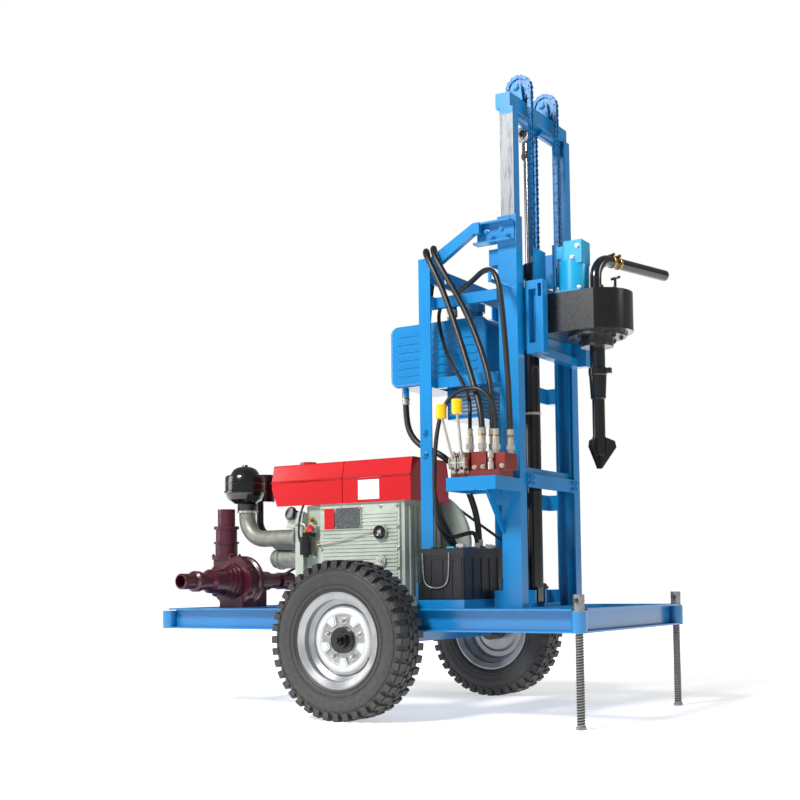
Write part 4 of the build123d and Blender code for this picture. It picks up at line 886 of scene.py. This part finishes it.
motor_bolts = [((706 + sx * 42, sy * 54, 1559), upward, 17) for sx in (-1, 1) for sy in (-1, 1)]
motor_bolts.append(((721, -48, 1680), to_near_side, 15))
motor_bolts.append(((742, -48, 1720), to_near_side, 15))
motor_bolts.append(((700, 30, 1690), to_far_side, 15))
bolts("motor_bolts", motor_bolts, "zinc_plated_steel", "head")

valve_bolts = [((x, -421, z), to_near_side, 9) for x in (420, 440, 456, 476) for z in (870, 940)]
valve_bolts += [((x, -417, 886), to_near_side, 15) for x in (500, 534)]
valve_bolts += [((x, -413, 886), to_near_side, 15) for x in (562, 606)]
bolts("valve_bolts", valve_bolts, "zinc_plated_steel", "chassis")

# Head fittings: hose clamps on the water pipe, breather, and the nuts, washer and band of the lift cylinder
pipe_z = 1677
heading = Vector((115, 408, 0)).normalized()
crossing = heading.cross(Vector(upward))
clamp_profile = [(21.3, 0), (23.2, 0.6), (23.2, 11.4), (21.3, 12)]
clamp_screw = [(4, 0), (4, 20), (6, 20), (6, 26)]
clamps = []
for along in (92, 128):
    place = Vector((spindle_x, 0, pipe_z)) + heading * along
    clamps.append(lathe(place, heading, clamp_profile, 32))
    clamps.append(lathe(place + Vector((0, 0, 26)) - crossing * 10, crossing, clamp_screw, 12))
piece("water_pipe_clamps", clamps, "brass", "head", 30)
piece("gearbox_breather", [
    lathe((878, -24, 1537), upward, [(9, 0), (9, 8), (5, 9), (5, 44)], 16),
    lathe((862, -24, 1581), (1, 0, 0.15), [(4, 0), (5, 2), (5, 34), (4, 36)], 12),
], "black_gloss_enamel", "head", 30)
piece("rod_lock_nuts", [
    hexagon((cylinder_x, 0, 2104), upward, 26, 14),
    hexagon((cylinder_x, 0, 2120), upward, 23, 9),
], "dark_threaded_steel", "inner_mast")
rod_eye_z = 2190
pin_washer = [(25, 0), (27, 1), (27, 6), (25, 7)]
piece("rod_pin_washer", [lathe((cylinder_x, -28, rod_eye_z), to_near_side, pin_washer, 32)],
      "zinc_plated_steel", "inner_mast", 30)
piece("rod_pin_head", [hexagon((cylinder_x, -34.5, rod_eye_z), to_near_side, 15, 9)], "black_gloss_enamel",
      "inner_mast")
barrel_band = [(30.6, 0), (32, 0.5), (32, 9.5), (30.6, 10)]
piece("barrel_band", [lathe((cylinder_x, 0, 1112), upward, barrel_band, 40, ring=True)], "zinc_plated_steel",
      "chassis", 30)

# Valve fittings: a fork with its pin and tie bars on each lever, and the relief cap
forks = []
for x in (430, 466):
    forks += [brick((x + low, -453, 882), (x + low + 4, -431, 920)) for low in (-15, 11)]
    forks += [brick((x + low, -449, 864), (x + low + 3, -441, 930)) for low in (-9, 6)]
    forks.append(lathe((x - 17, -446, 903), to_mast, [(4.5, 0), (4.5, 34)], 16))
    forks.append(lathe((x, -439, 926), to_far_side, [(8, 0), (8, 12)], 20))
    forks.append(lathe((x, -450, 872), to_far_side, [(6, 0), (6, 24)], 16))
piece("lever_forks", forks, "zinc_plated_steel", "chassis", 30)
relief = [(11, 0), (11, 26), (8, 28), (8, 40), (11.5, 42), (11.5, 64), (9, 67)]
piece("relief_cap", [lathe((569, -424.6, 874), upward, relief, 24)], "zinc_plated_steel", "chassis",
      30)

# Oil cooler: bare fins between its louvres
fin_pitch = 14
fin_height = 6
fins = []
for row in range(6):
    z = 1111.5 + fin_pitch * row
    fins.append(brick((272, -192.5, z), (390, -190.3, z + fin_height)))
    fins.append(brick((400.3, -178, z), (402.5, 98, z + fin_height)))
piece("cooler_fins", fins, "zinc_plated_steel", "chassis")

# Battery: ribs on the case, strap, filler caps and posts
case_top = 605
rib_width = 5
case_ribs = [brick((x, -428, 430), (x + rib_width, -424.8, 570)) for x in (281, 318, 366, 404, 442)]
case_ribs += [brick((281, -427.6, z), (447, -424.8, z + rib_width)) for z in (428, 566)]
case_ribs += [brick((452.8, y, 430), (456, y + rib_width, 570)) for y in (-416, -356, -296, -236, -176)]
piece("battery_ribs", case_ribs, "battery_polypropylene", "chassis")
# The strap is drawn light grey as a painted highlight: it stands for the sheen along a black plastic strap.
strap = [
    (290, -431, 590), (291, -431, 520), (300, -431, 474), (345, -431, 462), (388, -431, 474),
    (398, -431, 520), (399, -431, 590),
]
thin_pipe("battery_strap", strap, 5, "galvanised_steel_and_strap_highlight", "chassis")
caps = [lathe((316, y, case_top), upward, [(13, 0), (13, 4), (11, 6)], 20) for y in range(-395, -190, 36)]
piece("battery_caps", caps, "battery_polypropylene", "chassis", 30)
posts = [lathe((432, y, case_top), upward, [(10, 0), (9, 16), (8, 17)], 20) for y in (-400, -185)]
posts += [brick((418, y - 12, case_top + 4), (446, y + 12, case_top + 14)) for y in (-400, -185)]
piece("battery_posts", posts, "zinc_plated_steel", "chassis", 30)

# Crimped ferrules and union nuts on both ends of each hose
crimp = [(1, 4), (3, 5), (3, 10), (2, 11), (3, 12), (3, 17), (2, 18), (3, 19), (3, 26), (0.6, 28)]
ferrules = []
nuts = []
for name, diameter, points in hose_table:
    radius = diameter / 2
    for end, before in ((points[0], points[1]), (points[-1], points[-2])):
        way = (Vector(before) - Vector(end)).normalized()
        ferrules.append(lathe(end, way, [(radius + over, along) for over, along in crimp], 24))
        nuts.append(hexagon(end, way, radius + 4, 8))
piece("hose_ferrules", ferrules, "zinc_plated_steel", "chassis", 30)
piece("hose_nuts", nuts, "brass", "chassis")

# Stage: pale floor, white surround and soft studio light
bpy.ops.mesh.primitive_plane_add(size=60)
floor = bpy.context.object
floor.name = "floor"
paper = bpy.data.materials.new("white_paper_floor")
paper.use_nodes = True
ground = paper.node_tree
sheet = ground.nodes["Principled BSDF"]
sheet.inputs["Base Color"].default_value = srgb("F4F4F4")
sheet.inputs["Roughness"].default_value = 0.9
sheet.inputs["Specular IOR Level"].default_value = 0.0
sheet.inputs["Emission Color"].default_value = (1, 1, 1, 1)
spot = add(ground, "ShaderNodeTexCoord").outputs["Object"]
distance = add(ground, "ShaderNodeVectorMath", {0: spot}, operation="LENGTH").outputs["Value"]
ground.links.new(ramp(ground, distance, 1.2, 4.0, bottom=0.5), sheet.inputs["Emission Strength"])
floor.data.materials.append(paper)

world = bpy.data.worlds.new("studio")
scene.world = world
world.use_nodes = True
sky = world.node_tree
backdrop = sky.nodes["Background"]
backdrop.inputs["Color"].default_value = (1, 1, 1, 1)
seen_by_camera = add(sky, "ShaderNodeLightPath").outputs["Is Camera Ray"]
sky.links.new(ramp(sky, seen_by_camera, 0.0, 1.0, bottom=0.24), backdrop.inputs["Strength"])

light_table = [
    # name, place, aim, size, watts
    ("key_softbox", (-0.6, -5.4, 4.6), (0.0, 0.0, 0.9), 1.4, 450),
    ("right_rim", (5.0, 1.0, 3.4), (0.3, 0.0, 1.1), 1.4, 45),
    ("left_fill", (-5.0, -3.0, 2.4), (0.0, 0.0, 0.9), 2.6, 90),
]
for name, place, aim, size, watts in light_table:
    light = bpy.data.lights.new(name, "AREA")
    light.size = size
    light.energy = watts
    lamp = bpy.data.objects.new(name, light)
    lamp.location = place
    lamp.rotation_euler = (Vector(aim) - Vector(place)).to_track_quat("-Z", "Y").to_euler()
    scene.collection.objects.link(lamp)

scene.view_settings.view_transform = "Standard"
